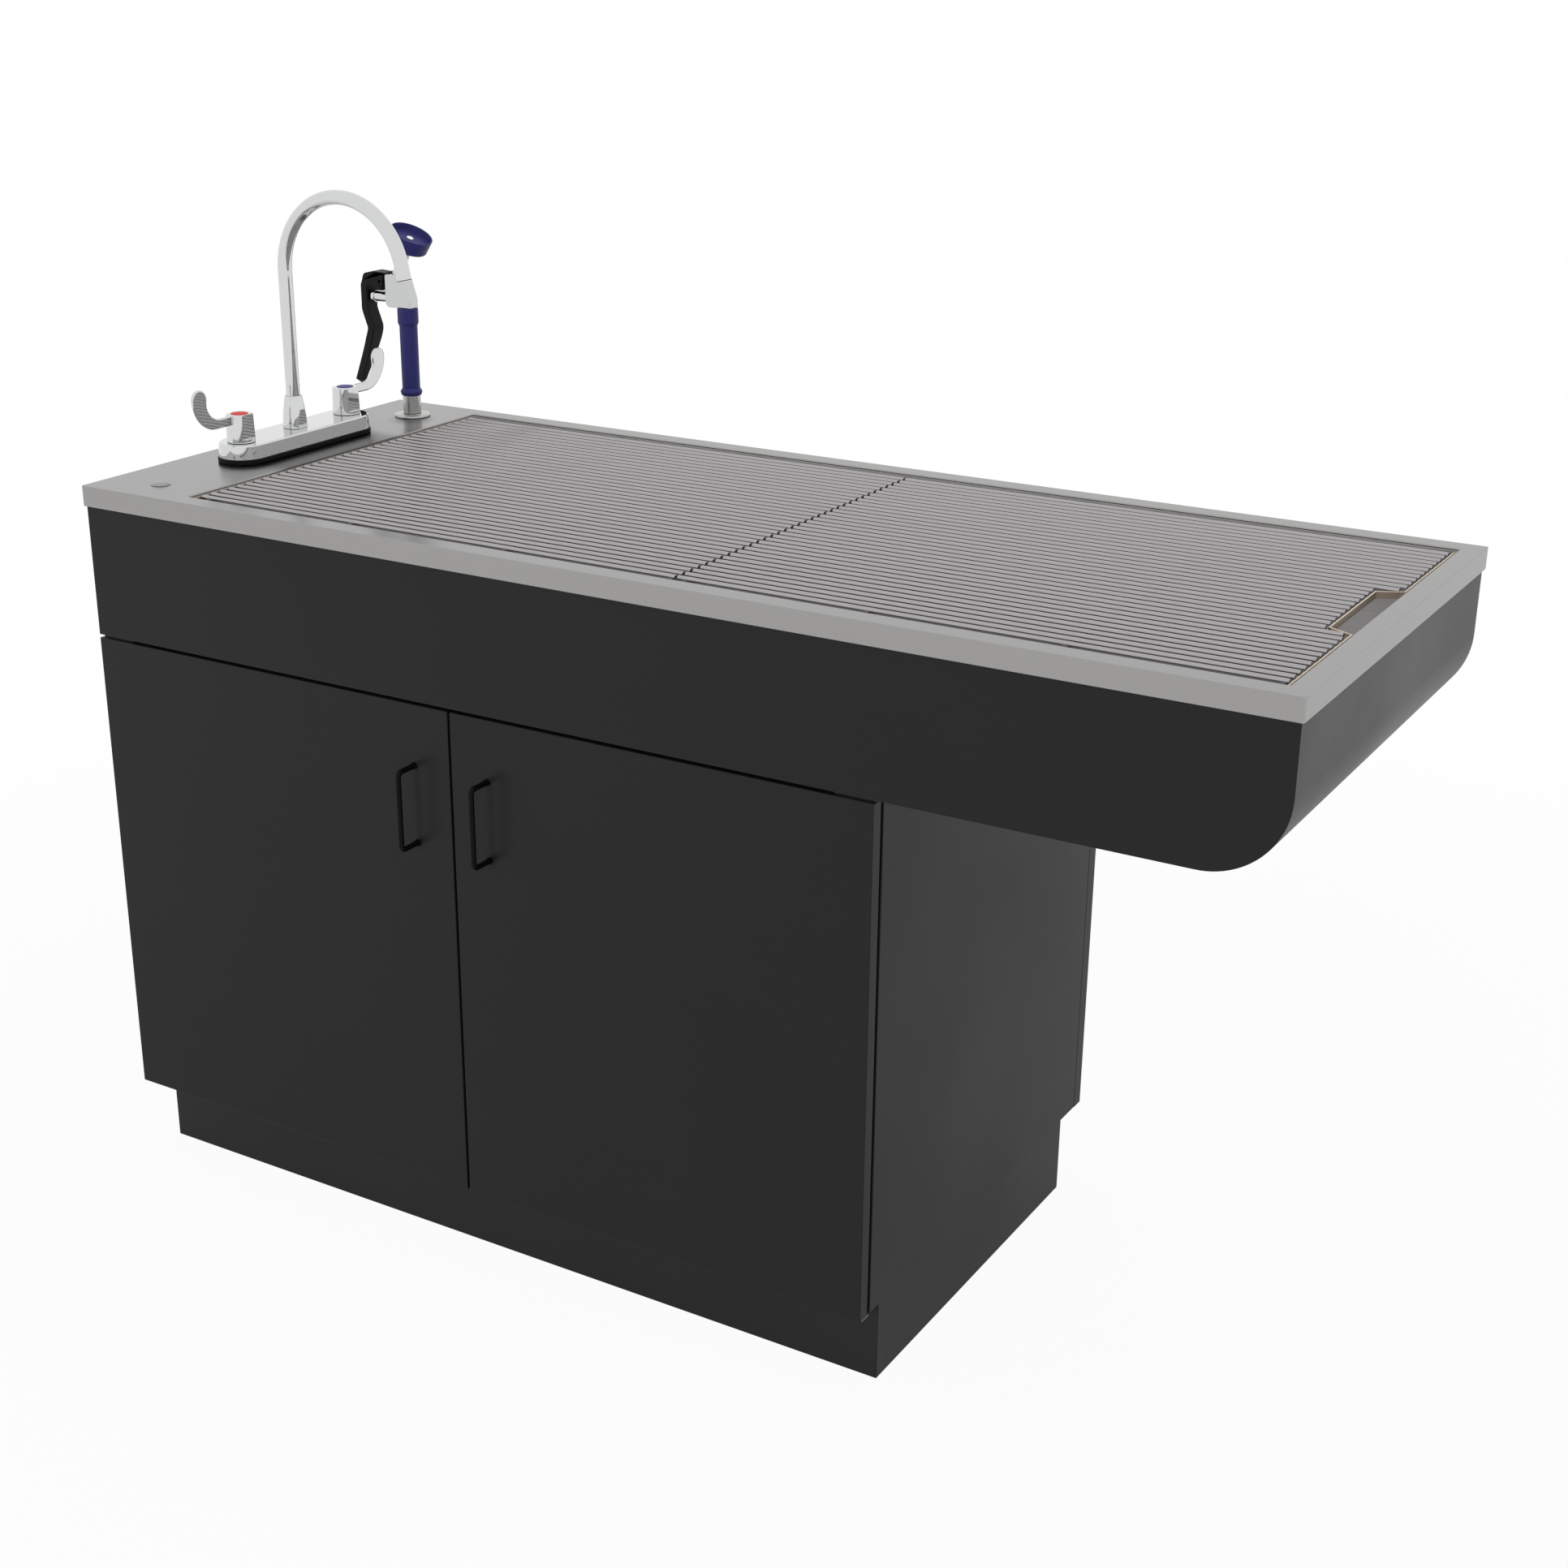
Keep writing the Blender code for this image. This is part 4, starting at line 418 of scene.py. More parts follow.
def stipple_group():
    """The fine pebbled skin of laminate, powder coat or moulded plastic, which is noise plus about
    half of a cell pattern, and a slow cloud."""
    group, given, made = effect_group(
        "Pebbled skin", (("Vector", "Vector"), ("Scale", "Float")), ("Height", "Cloud"))
    cells = add_node(group, "TexVoronoi", feature="SMOOTH_F1")
    grains = add_node(group, "TexNoise", {"Detail": 4.0})
    cloud = add_node(group, "TexNoise", {"Scale": 5.0, "Detail": 3.0})
    mixed = add_node(group, "Math", {1: 0.55}, operation="MULTIPLY_ADD")
    link_all(group, (given, "Vector", cells, "Vector"), (given, "Scale", cells, "Scale"),
             (given, "Vector", grains, "Vector"), (given, "Scale", grains, "Scale"),
             (given, "Vector", cloud, "Vector"), (cells, "Distance", mixed, 0), (grains, "Fac", mixed, 2),
             (mixed, 0, made, "Height"), (cloud, "Fac", made, "Cloud"))


def start_finish(name, effect, **values):
    """A new material: its node tree, its shader, its coordinates, and an effect with its values."""
    made = bpy.data.materials.new(name)
    made.use_nodes = True
    tree = made.node_tree
    place = add_node(tree, "TexCoord")
    skin_node = add_node(tree, "Group", values, node_tree=bpy.data.node_groups[effect])
    link_all(tree, (place, "Object", skin_node, "Vector"))
    return tree, tree.nodes["Principled BSDF"], place, skin_node


def spread(tree, effect, mask, low, high, shader):
    """Lead a mask, whose noise lies between 0.3 and 0.7, to the roughness as a value from low to
    high."""
    ranged = add_node(tree, "MapRange", {"From Min": 0.3, "From Max": 0.7, "To Min": low, "To Max": high})
    link_all(tree, (effect, mask, ranged, "Value"), (ranged, "Result", shader, "Roughness"))


def two_tone(tree, effect, mask, colour, variety, shader):
    """Let the base colour grow darker and lighter by a share with a mask."""
    ends = {"A": (*tinted(colour, 1 - variety), 1.0), "B": (*tinted(colour, 1 + variety), 1.0)}
    mix = add_node(tree, "Mix", ends, data_type="RGBA")
    link_all(tree, (effect, mask, mix, "Factor"), (mix, "Result", shader, "Base Color"))


def emboss(tree, effect, shader, strength, distance):
    """Lead an effect's height through a Bump node to the shader."""
    bump = add_node(tree, "Bump", {"Strength": strength, "Distance": distance})
    link_all(tree, (effect, "Height", bump, "Height"), (bump, "Normal", shader, "Normal"))


def tinted(colour, share):
    """A colour made lighter or darker by a share."""
    return tuple(value * share for value in colour)


def skinned_finish(name, colour, scale, roughness, bump, depth=0.00004, variety=0.1, gloss=0.25):
    """A plastic, painted or laminated surface: pebbled skin, slow clouds in colour and gloss."""
    tree, shader, _, effect = start_finish(name, "Pebbled skin", Scale=scale)
    shader.inputs["Specular IOR Level"].default_value = gloss
    two_tone(tree, effect, "Cloud", colour, variety, shader)
    spread(tree, effect, "Cloud", roughness - 0.03, roughness + 0.04, shader)
    emboss(tree, effect, shader, bump, depth)


def metal_finish(name, colour, stretch, scale, roughness, bump, depth=0.00003, variety=0.05,
                 metallic=1.0, rim=1.0):
    """A metal surface with a grain: streaks in colour, gloss and height along the grain."""
    tree, shader, _, effect = start_finish(name, "Metal grain", Stretch=stretch, Scale=scale)
    shader.inputs["Metallic"].default_value = metallic
    shader.inputs["Specular Tint"].default_value = (rim, rim, rim, 1.0)
    two_tone(tree, effect, "Streak", colour, variety, shader)
    spread(tree, effect, "Height", roughness * 0.85, roughness * 1.15, shader)
    emboss(tree, effect, shader, bump, depth)
    return tree


def paint_deck_shade(tree):
    """Painted shade and reflection: tone the steel's colour down where the deck would mirror the dark foot of
    the faucet and the spray and lie in their shade. The share rises smoothly to one with the distance from a
    strip and from a spot on the deck."""
    shader = tree.nodes["Principled BSDF"]
    plain = shader.inputs["Base Color"].links[0].from_node
    place = add_node(tree, "TexCoord")
    lower = add_node(tree, "Math", operation="MINIMUM")
    fade_length, strip_half = 0.04, 0.095
    strip = ((GASKET_HIGH.x + BASIN_LOW.x) / 2, (GASKET_LOW.y + GASKET_HIGH.y) / 2)
    spray = (FLANGE_LOW + FLANGE_HIGH) / 2
    spot = (spray.x + 0.018, spray.y - 0.026)
    zero = (0.0, 0.0, 0.0)
    for entry, (centre, half, least) in enumerate((
            (strip, ((BASIN_LOW.x - GASKET_HIGH.x) / 2, strip_half), 0.36), (spot, (0.0, 0.0), 0.3))):
        source, output = place, "Object"
        for operation, value in (("SUBTRACT", (*centre, 0.0)), ("ABSOLUTE", zero), ("SUBTRACT", (*half, 0.0)),
                                 ("MAXIMUM", zero), ("MULTIPLY", (1.0, 1.0, 0.0)), ("LENGTH", zero)):
            step = add_node(tree, "VectorMath", {1: value}, operation=operation)
            link_all(tree, (source, output, step, 0))
            source, output = step, "Vector"
        fade = add_node(tree, "MapRange", {"From Max": fade_length, "To Min": least},
                        interpolation_type="SMOOTHSTEP")
        link_all(tree, (step, "Value", fade, "Value"), (fade, "Result", lower, entry))
    toned = add_node(tree, "VectorMath", operation="SCALE")
    link_all(tree, (plain, "Result", toned, 0), (lower, 0, toned, "Scale"),
             (toned, "Vector", shader, "Base Color"))


def make_finishes():
    """Every finish of the table."""
    colours = table_colours()
    steel, even = colours.steel, (1.0, 1.0, 1.0)
    grain_group()
    stipple_group()
    skinned_finish("black laminate", colours.laminate, 900.0, 0.34, 0.1, gloss=0.14)
    skinned_finish("black plinth board", colours.plinth, 900.0, 0.34, 0.1, gloss=0.14)
    # The deck's steel carries painted shade and a painted dark reflection beside the faucet and the spray
    paint_deck_shade(metal_finish("brushed steel with painted shade", steel, (0.02, 1.0, 1.0), 900.0, 0.24, 0.01, variety=0.02,
                            rim=0.86))
    # The basin's steel is made 1.7 times lighter and partly diffuse than the top's steel: painted light
    # inside the basin
    metal_finish("basin steel with painted light", tinted(steel, 1.7), (0.03, 1.0, 0.6), 700.0, 0.3, 0.02, variety=0.03,
                 metallic=0.35)
    metal_finish("drawn rod", colours.rod, (0.02, 1.0, 1.0), 1500.0, 0.15, 0.04)
    metal_finish("chrome plate", colours.chrome, even, 120.0, 0.03, 0.004, 0.00001, 0.01)
    metal_finish("satin steel", (0.47, 0.465, 0.46), (1.0, 1.0, 0.05), 500.0, 0.26, 0.02, variety=0.03)
    metal_finish("cut strip edge", (0.6, 0.5, 0.4), (0.1, 0.1, 1.0), 900.0, 0.3, 0.04)
    metal_finish("plated casting", tinted(colours.chrome, 0.88), even, 300.0, 0.12, 0.01, 0.00001, 0.01)
    metal_finish("bright nozzle", (0.95, 0.95, 0.95), even, 600.0, 0.25, 0.01, 0.00001, 0.01)
    skinned_finish("blue moulding", colours.blue, 1400.0, 0.42, 0.1)
    skinned_finish("black moulding", colours.lever, 1400.0, 0.48, 0.12, gloss=0.12)
    skinned_finish("black powder coat", colours.pull, 1800.0, 0.42, 0.12, gloss=0.08)
    skinned_finish("black rubber and painted shade", colours.rubber, 1200.0, 0.6, 0.15, gloss=0.12)
    skinned_finish("red cap", colours.red_cap, 1500.0, 0.4, 0.04, gloss=0.08)
    skinned_finish("blue cap", colours.blue_cap, 1500.0, 0.4, 0.04, gloss=0.08)
    metal_finish("valve brass", (0.52, 0.4, 0.2), (1.0, 1.0, 0.1), 900.0, 0.32, 0.08)
    metal_finish("hinge steel", (0.16, 0.16, 0.165), (1.0, 0.1, 1.0), 900.0, 0.4, 0.1)
    skinned_finish("white pipe", (0.7, 0.7, 0.68), 500.0, 0.36, 0.05, variety=0.03, gloss=0.4)


# The pieces

def build_board(node, material, slot, body="table", square=False, grow=(0.0, 0.0)):
    """A board in the place of its CAD node, with softened edges. It may grow at its front and back,
    to lap a neighbour's soft edge, or shrink."""
    low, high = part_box(node)
    low.y, high.y = low.y - grow[0], high.y + grow[1]
    rings = slab(low, high, table_sizes().board_edge, square)
    make_piece(node + "_board", [rings], material, body, slot, node)


def build_boards():
    """The plinth, the carcass and the doors."""
    for node in ("plinth_front", "plinth_back", "plinth_rail"):
        build_board(node, "black plinth board", "black_plinth")
    lap = table_sizes().board_edge * CORNER_SHARE
    for node in ("plinth_left", "plinth_right"):
        build_board(node, "black plinth board", "black_plinth", square=True, grow=(lap, lap))
    for node in ("cabinet_left_side", "cabinet_right_side", "cabinet_floor", "top_rail_front",
                 "top_rail_back"):
        build_board(node, "black laminate", "black_panel")
    set_back = 0.002
    for door in ("left_door", "right_door"):
        build_board(door, "black laminate", "black_panel", door, grow=(0.0, -set_back))
    coat("black laminate", "cabinet_back")


def apron_outline(low, high, radius, edge):
    """The apron seen from the front: a long rectangle whose lower right corner is a large arc."""
    corners = ((low.x, low.z), (high.x, low.z), (high.x, high.z), (low.x, high.z))
    return round_corners(corners, (edge, radius, edge, edge), steps=24)


def build_apron():
    """The apron's boards. Where the front and back boards meet the board that wraps the end, both
    are square, so that they look like one skin."""
    edge = table_sizes().board_edge
    radius, board = 0.0889, 0.0127
    front_low, front_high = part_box("apron_front")
    back_low, back_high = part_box("apron_back")
    corner = edge * CORNER_SHARE
    outline, normals = apron_outline(front_low, front_high, radius, corner)
    shells = {"apron_front": soft_ends(front_low.y, front_high.y, edge, 0.0),
              "apron_back": soft_ends(back_low.y, back_high.y, 0.0, edge)}
    for node, profile in shells.items():
        rings = carry("XZ", outline, normals, profile)
        make_piece(node + "_board", [rings], "black laminate", "table", "black_panel", node)
    low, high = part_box("apron_left_end")
    low.y, high.y = front_high.y, back_low.y
    make_piece("apron_left_end_board", [slab(low, high, corner, square=True)], "black laminate",
               "table", "black_panel", "apron_left_end")
    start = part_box("apron_wrap")[0].x
    line = [(start, front_low.z), (front_high.x, front_low.z), (front_high.x, front_high.z),
            (front_high.x - board, front_high.z), (front_high.x - board, front_low.z + board),
            (start, front_low.z + board)]
    wrap, wrap_normals = round_corners(line, (0.0, radius, corner, 0.0, radius - board, 0.0), steps=24)
    rings = carry("XZ", wrap, wrap_normals, ((0.0, front_high.y), (0.0, back_low.y)))
    make_piece("apron_wrap_board", [rings], "black laminate", "table", "black_panel", "apron_wrap")


def build_top():
    """The steel top: a bent section goes round the rim. The outer half of the section keeps its
    distance from the outer edge, and the inner half from the opening, which lies off centre."""
    sizes = table_sizes()
    sheet = sizes.steel_sheet
    rim = TOP_HIGH.x - BASIN_HIGH.x
    top, low = TOP_HIGH.z, TOP_LOW.z
    section = ((0.0, top), (0.0, low), (sheet, low), (sheet, top - sheet), (rim, top - sheet), (rim, top))
    radii = (sizes.steel_edge, sheet * 0.42, sheet * 0.42, sheet * 0.4, sheet * 0.3, sizes.steel_edge * 2)
    line = round_corners(section, radii)[0]
    inward, height = line[:, 0], line[:, 1]
    outer = inward < rim / 2
    grow = rim - inward
    rings = rectangle_rings(
        np.where(outer, TOP_LOW.x + inward, BASIN_LOW.x - grow),
        np.where(outer, TOP_HIGH.x - inward, BASIN_HIGH.x + grow),
        np.where(outer, TOP_LOW.y + inward, BASIN_LOW.y - grow),
        np.where(outer, TOP_HIGH.y - inward, BASIN_HIGH.y + grow),
        np.where(outer, np.maximum(sizes.rim_corner - inward, 0.0003), 0.0012 + grow), steps=6)
    make_piece("top_sheet", [lift("XY", rings, height[:, None])], "brushed steel with painted shade", "table",
               "stainless_steel", "top_frame", loop=True)
    coat("basin steel with painted light", "basin", "drain_flange", "drain_nut")


def rod_shell(start, end, y, level, radius, sides=14):
    """A rod along X with softened ends: rings of its radius, less a quarter circle at each end."""
    line = round_corners(((radius * 0.6, start), (radius, start), (radius, end), (radius * 0.6, end)),
                         (0.0, radius * 0.18, radius * 0.18, 0.0), closed=False, steps=2)[0]
    angle = (np.arange(sides) + 0.5) * 2 * pi / sides
    flat = np.stack((y + line[:, 0, None] * np.cos(angle), level + line[:, 0, None] * np.sin(angle)), axis=-1)
    return lift("YZ", flat, line[:, 1, None])


def build_grate(node, notched):
    """A grate: round rods on shallow cross bars that stand on the ledge with a foot at each end. A
    thin strip on edge closes the ends of the rods at the rim, and goes round the finger notch."""
    strip, strip_corner, strip_edge, strip_drop, past_rim = 0.002, 0.0008, 0.0003, 0.0035, 0.0025
    inset, foot, bar_depth, bar_edge, bar_end, bite = 0.0075, 0.0105, 0.0048, 0.0004, 0.01, 0.0005
    notch_depth, notch_floor, notch_mouth, notch_rods = 0.0187, 0.0745, 0.088, 5
    rod_gap, mouth_gap = 0.0028, 0.0065
    sizes = table_sizes()
    low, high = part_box(node)
    radius, pitch, half = sizes.rod_radius, sizes.rod_pitch, sizes.bar_width / 2
    level, bar_top = high.z - radius, high.z - 2 * radius + bite
    way = 1 if notched else -1
    rim_end = (high.x if notched else -low.x) + past_rim
    split_end = -low.x if notched else high.x
    notch_end = high.x - inset - notch_depth + 0.0022
    shells = []
    for step in range(-int(high.y / pitch), int(high.y / pitch) + 1):
        near = (notch_end if notched and abs(step) <= notch_rods else rim_end) - rod_gap
        if notched and abs(step) == notch_rods + 1:
            near = rim_end - mouth_gap
        ends = sorted((way * near, -way * split_end))
        shells.append(rod_shell(ends[0], ends[1], step * pitch, level, radius))
    bars = way * np.linspace(inset - split_end, rim_end - bar_end, 4)
    parts = [(middle, *ends, low.z) for middle in bars
             for ends in ((low.y, low.y + foot), (high.y - foot, high.y))]
    parts += [(middle, low.y + bar_end, high.y - bar_end, bar_top - bar_depth) for middle in bars[:3]]
    for middle, start, end, bottom in parts:
        shells.append(slab((middle - half, start, bottom), (middle + half, end, bar_top), bar_edge))
    line = [(way * rim_end, low.y), (way * rim_end, high.y)]
    if notched:
        line[1:1] = [(rim_end, -notch_mouth), (notch_end, -notch_floor), (notch_end, notch_floor),
                     (rim_end, notch_mouth)]
    outline, normals = round_corners(anticlockwise(strip_line(line, strip)), strip_corner, steps=2)
    ends = soft_ends(level - radius - strip_drop, level + radius * 0.35, strip_edge, strip_edge)
    make_piece(node + "_strip", [carry("XY", outline, normals, ends)], "cut strip edge", node,
               "stainless_steel")
    make_piece(node + "_rods", shells, "drawn rod", node, "stainless_steel", node)


def build_drain():
    """Finishes of the drain, its trap and the parts under the deck."""
    coat("white pipe", "drain_slip_nut", "drain_pipe", "trap_inlet_nut", "trap_bend", "trap_outlet_nut",
         "trap_arm")
    coat("valve brass", "hot_valve", "cold_valve", "hot_shank_nut", "spout_shank_nut", "cold_shank_nut",
         "spray_nut")
    coat("hinge steel", "left_door_hinge_top", "left_door_hinge_bottom", "right_door_hinge_top",
         "right_door_hinge_bottom", "spray_lever_pin")


def stadium(low, high):
    """A slot-shaped outline between two corners: a rectangle with half circles for its ends."""
    radius = (high.x - low.x) / 2 * 0.9995
    corners = ((low.x, low.y), (high.x, low.y), (high.x, high.y), (low.x, high.y))
    return round_corners(corners, radius, steps=16)


def build_faucet_base():
    """The gasket, the deck plate with its steep wall, and the spout's bell-shaped socket."""
    outline, normals = stadium(GASKET_LOW, GASKET_HIGH)
    profile = soft_ends(GASKET_LOW.z, GASKET_HIGH.z, 0.0012, 0.0012)
    make_piece("gasket_ring", [carry("XY", outline, normals, profile)], "black rubber and painted shade", "table",
               "black_rubber", "faucet_gasket")
    outline, normals = stadium(PLATE_LOW, PLATE_HIGH)
    line = ((-0.001, PLATE_LOW.z), (0.0, PLATE_LOW.z), (-0.0012, PLATE_LOW.z + 0.0165),
            (-0.0026, PLATE_HIGH.z), (-0.008, PLATE_HIGH.z))
    profile = round_corners(line, (0.0, 0.0004, 0.001, 0.0008, 0.0), closed=False, steps=6)[0]
    make_piece("deck_plate", [carry("XY", outline, normals, profile)], "chrome plate", "table",
               "chrome", "faucet_plate")
    base, top = PLATE_HIGH.z + SEAT_GAP, SOCKET_HIGH.z
    wide, narrow = SOCKET_HIGH.x - FAUCET_X, 0.0112
    line = ((wide - 0.004, base), (wide, base), (0.0148, base + 0.0185), (narrow, top), (0.0096, top),
            (0.0096, top - 0.004))
    profile = round_corners(line, (0.0, 0.0004, 0.12, 0.0012, 0.0004, 0.0), closed=False, steps=8)[0]
    rings = flatted_rings(profile[:, 0], 0.0134, 0.0003, 64) + np.array((FAUCET_X, 0.0))
    make_piece("socket_cone", [lift("XY", rings, profile[:, 1, None])], "chrome plate", "table",
               "chrome", "spout_socket")


def build_spout():
    """The gooseneck: a straight leg, an arc and a short straight end, with a rounded lip, and a thin black
    ring of painted shade at the mouth.
    """
    radius, wall, bend, swept = table_sizes().spout_radius, 0.0014, 0.0954, radians(168.0)
    last = pi - swept
    low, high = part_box("spout")
    leg_top = high.z - radius - bend
    sweep = np.linspace(pi, last, 72)
    arc = np.stack((FAUCET_X + bend + bend * np.cos(sweep), leg_top + bend * np.sin(sweep)), axis=1)
    leg = np.stack((np.full(6, FAUCET_X), np.linspace(low.z, leg_top, 7)[:-1]), axis=1)
    mouth = arc[-1] + np.array((0.006, 0.012, 0.0185))[:, None] * (np.sin(last), -np.cos(last))
    line = np.concatenate((leg, arc, mouth))
    outer = tube("XZ", line, 0.0, radius, 40)
    lip_angle = np.linspace(0.0, pi, 6)[1:, None, None]
    end, before = outer[-1], outer[-2]
    centre = end.mean(axis=0)
    way = (end - before).mean(axis=0)
    way = way / np.linalg.norm(way)
    spokes = (end - centre) / radius
    lip = (centre - way * wall * (1 - np.sin(lip_angle)) * 0.5
           + spokes * (radius - wall / 2 + np.cos(lip_angle) * wall / 2))
    inside = lip[-1] - way * np.array((0.004, 0.012, 0.02))[:, None, None]
    rings = np.concatenate((outer, lip, inside))
    make_piece("gooseneck", [rings], "chrome plate", "spout", "chrome", "spout")
    # A thin black ring round the tube's end is painted shade: it draws the dark line where the tube ends
    painted_shade_ring = [centre + spokes * (radius + out) - way * back for out, back in
            ((-0.0015, 0.0014), (0.00015, 0.0014), (0.00015, 0.0005), (-0.0015, 0.0005))]
    make_piece("mouth_painted_shade_ring", [np.array(painted_shade_ring)], "black rubber and painted shade", "spout", "black_rubber", loop=True)


def blade_outline(hub_top):
    """A handle's blade from the side: a line that runs out level and curls up through a quarter
    circle, widened on both sides from the root to a round tip."""
    root, tip, run, bend = 0.0122, 0.025, 0.038, 0.0315
    turn = np.linspace(0.0, pi / 2, 22)
    level = hub_top - root / 2
    start = np.stack((np.linspace(0.0142, run, 6)[:-1], np.full(5, level)), axis=1)
    curl = np.stack((run + bend * np.sin(turn), level + bend - bend * np.cos(turn)), axis=1)
    rise = curl[-1:] + np.array(((0.0, 0.0028),))
    line = np.concatenate((start, curl, rise))
    slope = np.concatenate((np.zeros(5), turn, [pi / 2]))
    along = np.concatenate((np.zeros(5), np.linspace(0.0, 1.0, 23)))
    half = (root + (tip - root) * along)[:, None] / 2
    side = np.stack((np.sin(slope), -np.cos(slope)), axis=1)
    angle = np.linspace(0.0, pi, 16)[1:-1]
    cap = line[-1] + tip / 2 * np.stack((np.cos(angle), np.sin(angle)), axis=1)
    return np.concatenate((line + side * half, cap, (line - side * half)[::-1]))


def build_handle(name, side, cap_finish, cap_slot):
    """A lever handle: a hub with two flats above its round foot, a curled blade with round edges,
    and a domed cap."""
    cap_low, cap_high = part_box(name + "_cap")
    y = (cap_low.y + cap_high.y) / 2
    bottom = PLATE_HIGH.z + 0.0004
    top = cap_low.z + 0.0006
    foot = PLATE_HIGH.z + 0.0047
    line = ((0.006, bottom + 0.0008), (0.0132, bottom + 0.0008), (0.0132, bottom), (0.018, bottom),
            (0.0179, foot), (0.017, top), (0.0112, top), (0.0112, top - 0.0008))
    profile = round_corners(line, (0.0, 0.0, 0.0, 0.0005, 0.0, 0.0012, 0.0003, 0.0), closed=False)[0]
    split = int(np.argmax(profile[:, 1] >= foot))
    profile = np.insert(profile, split, profile[split], axis=0)
    flats = np.where(np.arange(len(profile)) > split, 0.0137, 0.03)
    hub = flatted_rings(profile[:, 0], flats, 0.0005, 72) + np.array((FAUCET_X, y))
    outline = blade_outline(top)
    outline[:, 0] = y + side * outline[:, 0]
    outline = anticlockwise(outline)
    thick, edge = 0.004, 0.004 * 0.42
    blade = carry("YZ", outline, line_normals(outline, closed=True),
                  soft_ends(FAUCET_X - thick / 2, FAUCET_X + thick / 2, edge, edge))
    make_piece(name + "_lever", [lift("XY", hub, profile[:, 1, None]), blade], "chrome plate",
               name + "_handle", "chrome", name + "_handle")
    radius = (cap_high.x - cap_low.x) / 2
    line = ((radius * 0.3, cap_low.z), (radius, cap_low.z), (radius, cap_high.z - 0.0003),
            (radius * 0.25, cap_high.z))
    rings = turned(line, (0.0, 0.0003, 0.0006, 0.0), (FAUCET_X, y, 0.0))
    make_piece(name + "_button", [rings], cap_finish, name + "_handle", cap_slot, name + "_cap")


def build_spray_holder():
    """The deck fitting of the hand spray: a low dome with a raised collar, on its guide."""
    base, top = TOP_HIGH.z + SEAT_GAP, FLANGE_HIGH.z
    wide = (FLANGE_HIGH.x - FLANGE_LOW.x) / 2
    line = ((0.0095, FLANGE_LOW.z), (0.013, FLANGE_LOW.z), (0.013, base), (wide, base), (wide, base + 0.0026),
            (0.0198, top - 0.0004), (0.0158, top - 0.0005), (0.015, top), (0.0095, top))
    radii = (0.0004, 0.0004, 0.0004, 0.0003, 0.0018, 0.003, 0.0002, 0.0003, 0.0003)
    rings = turned(line, radii, (SPRAY_X, SPRAY_Y, 0.0), closed=True)
    make_piece("spray_dome", [rings], "satin steel", "table", "chrome", "spray_flange", loop=True)


def build_spray_grip():
    """The ferrule and the blue grip: turned, with a bead at the foot and a collar at the top."""
    place = (SPRAY_X, SPRAY_Y, 0.0)
    base, top = GRIP_LOW.z, GRIP_HIGH.z
    foot = TOP_HIGH.z + 0.0046
    line = ((0.004, FERRULE_LOW.z), (0.008, FERRULE_LOW.z), (0.008, foot), (0.0122, foot),
            (0.0122, FERRULE_HIGH.z), (0.006, FERRULE_HIGH.z))
    make_piece("spray_sleeve", [turned(line, (0.0, 0.0008, 0.0003, 0.0004, 0.0005, 0.0), place)],
               "satin steel", "spray_gun", "chrome", "spray_ferrule")
    line = ((0.006, base), (0.0134, base), (0.0153, base + 0.0048), (0.0122, base + 0.0092),
            (0.0122, top - 0.0235), (0.0141, top - 0.0192), (0.0141, top), (0.007, top))
    radii = (0.0, 0.001, 0.0034, 0.0025, 0.002, 0.0014, 0.0008, 0.0)
    make_piece("spray_handle", [turned(line, radii, place, steps=6)], "blue moulding", "spray_gun",
               "blue_plastic", "spray_grip")


def build_valve_body():
    """The valve body: rectangles along X whose top slopes down to the nose, with a bore for the
    plunger in its left end, an ear for the lever's pin, and the leaning neck of the bumper."""
    edge, half, bore, chamfer = 0.001, 0.009, 0.0073, 0.0038
    left, right = VALVE_FACE_X, VALVE_HIGH.x
    low, shoulder = GRIP_HIGH.z + SEAT_GAP, SPRAY_X + 0.001
    top = low + 0.0435
    level = (PLUNGER_LOW.z + PLUNGER_HIGH.z) / 2
    ends = soft_ends(left, right, edge, edge)
    middle = len(ends) // 2
    profile = np.concatenate((ends[:middle], ((0.0, left + chamfer), (0.0, shoulder)), ends[middle:]))
    inset, along = -profile[:, 0], profile[:, 1]
    floor = low + np.maximum(0.0, left + chamfer - along)
    roof = top - np.maximum(0.0, along - shoulder) * (top - low - 0.0114) / (right - shoulder)
    body = rectangle_rings(SPRAY_Y - half + inset, SPRAY_Y + half - inset, floor + inset, roof - inset,
                           np.maximum(edge * CORNER_SHARE - inset, edge * 0.05))
    mouth = rectangle_rings(SPRAY_Y - bore, SPRAY_Y + bore, level - bore, level + bore, (bore, bore))
    rings = np.concatenate((lift("YZ", mouth, np.array(((left + 0.015,), (left,)))),
                            lift("YZ", body, along[:, None])))
    pivot = (LEVER_PIVOT_X, LEVER_PIVOT_Z)
    corners = ((0.0095, -0.0135), (0.0095, 0.005), (-0.005, 0.005), (-0.005, -0.002), (0.0, -0.0135))
    ear, ear_normals = round_corners(np.array(pivot) + corners, (0.0003, 0.0003, 0.0049, 0.002, 0.0004),
                                     steps=8)
    ear_rings = carry("XZ", ear, ear_normals, soft_ends(SPRAY_Y - 0.004, SPRAY_Y + 0.004, 0.0002, 0.0002))
    reach = (BUMPER_Z - top) / np.cos(BUMPER_LEAN)
    foot = (BUMPER_X - np.sin(BUMPER_LEAN) * reach, SPRAY_Y, top)
    neck = turned(((0.004, -0.015), (0.0075, -0.015), (0.0075, reach - 0.0003), (0.004, reach - 0.0003)),
                  (0.0, 0.0005, 0.0003, 0.0), foot, lean=BUMPER_LEAN, sides=40)
    make_piece("valve_block", [rings, ear_rings, neck], "plated casting", "spray_gun", "chrome",
               "spray_valve_body")


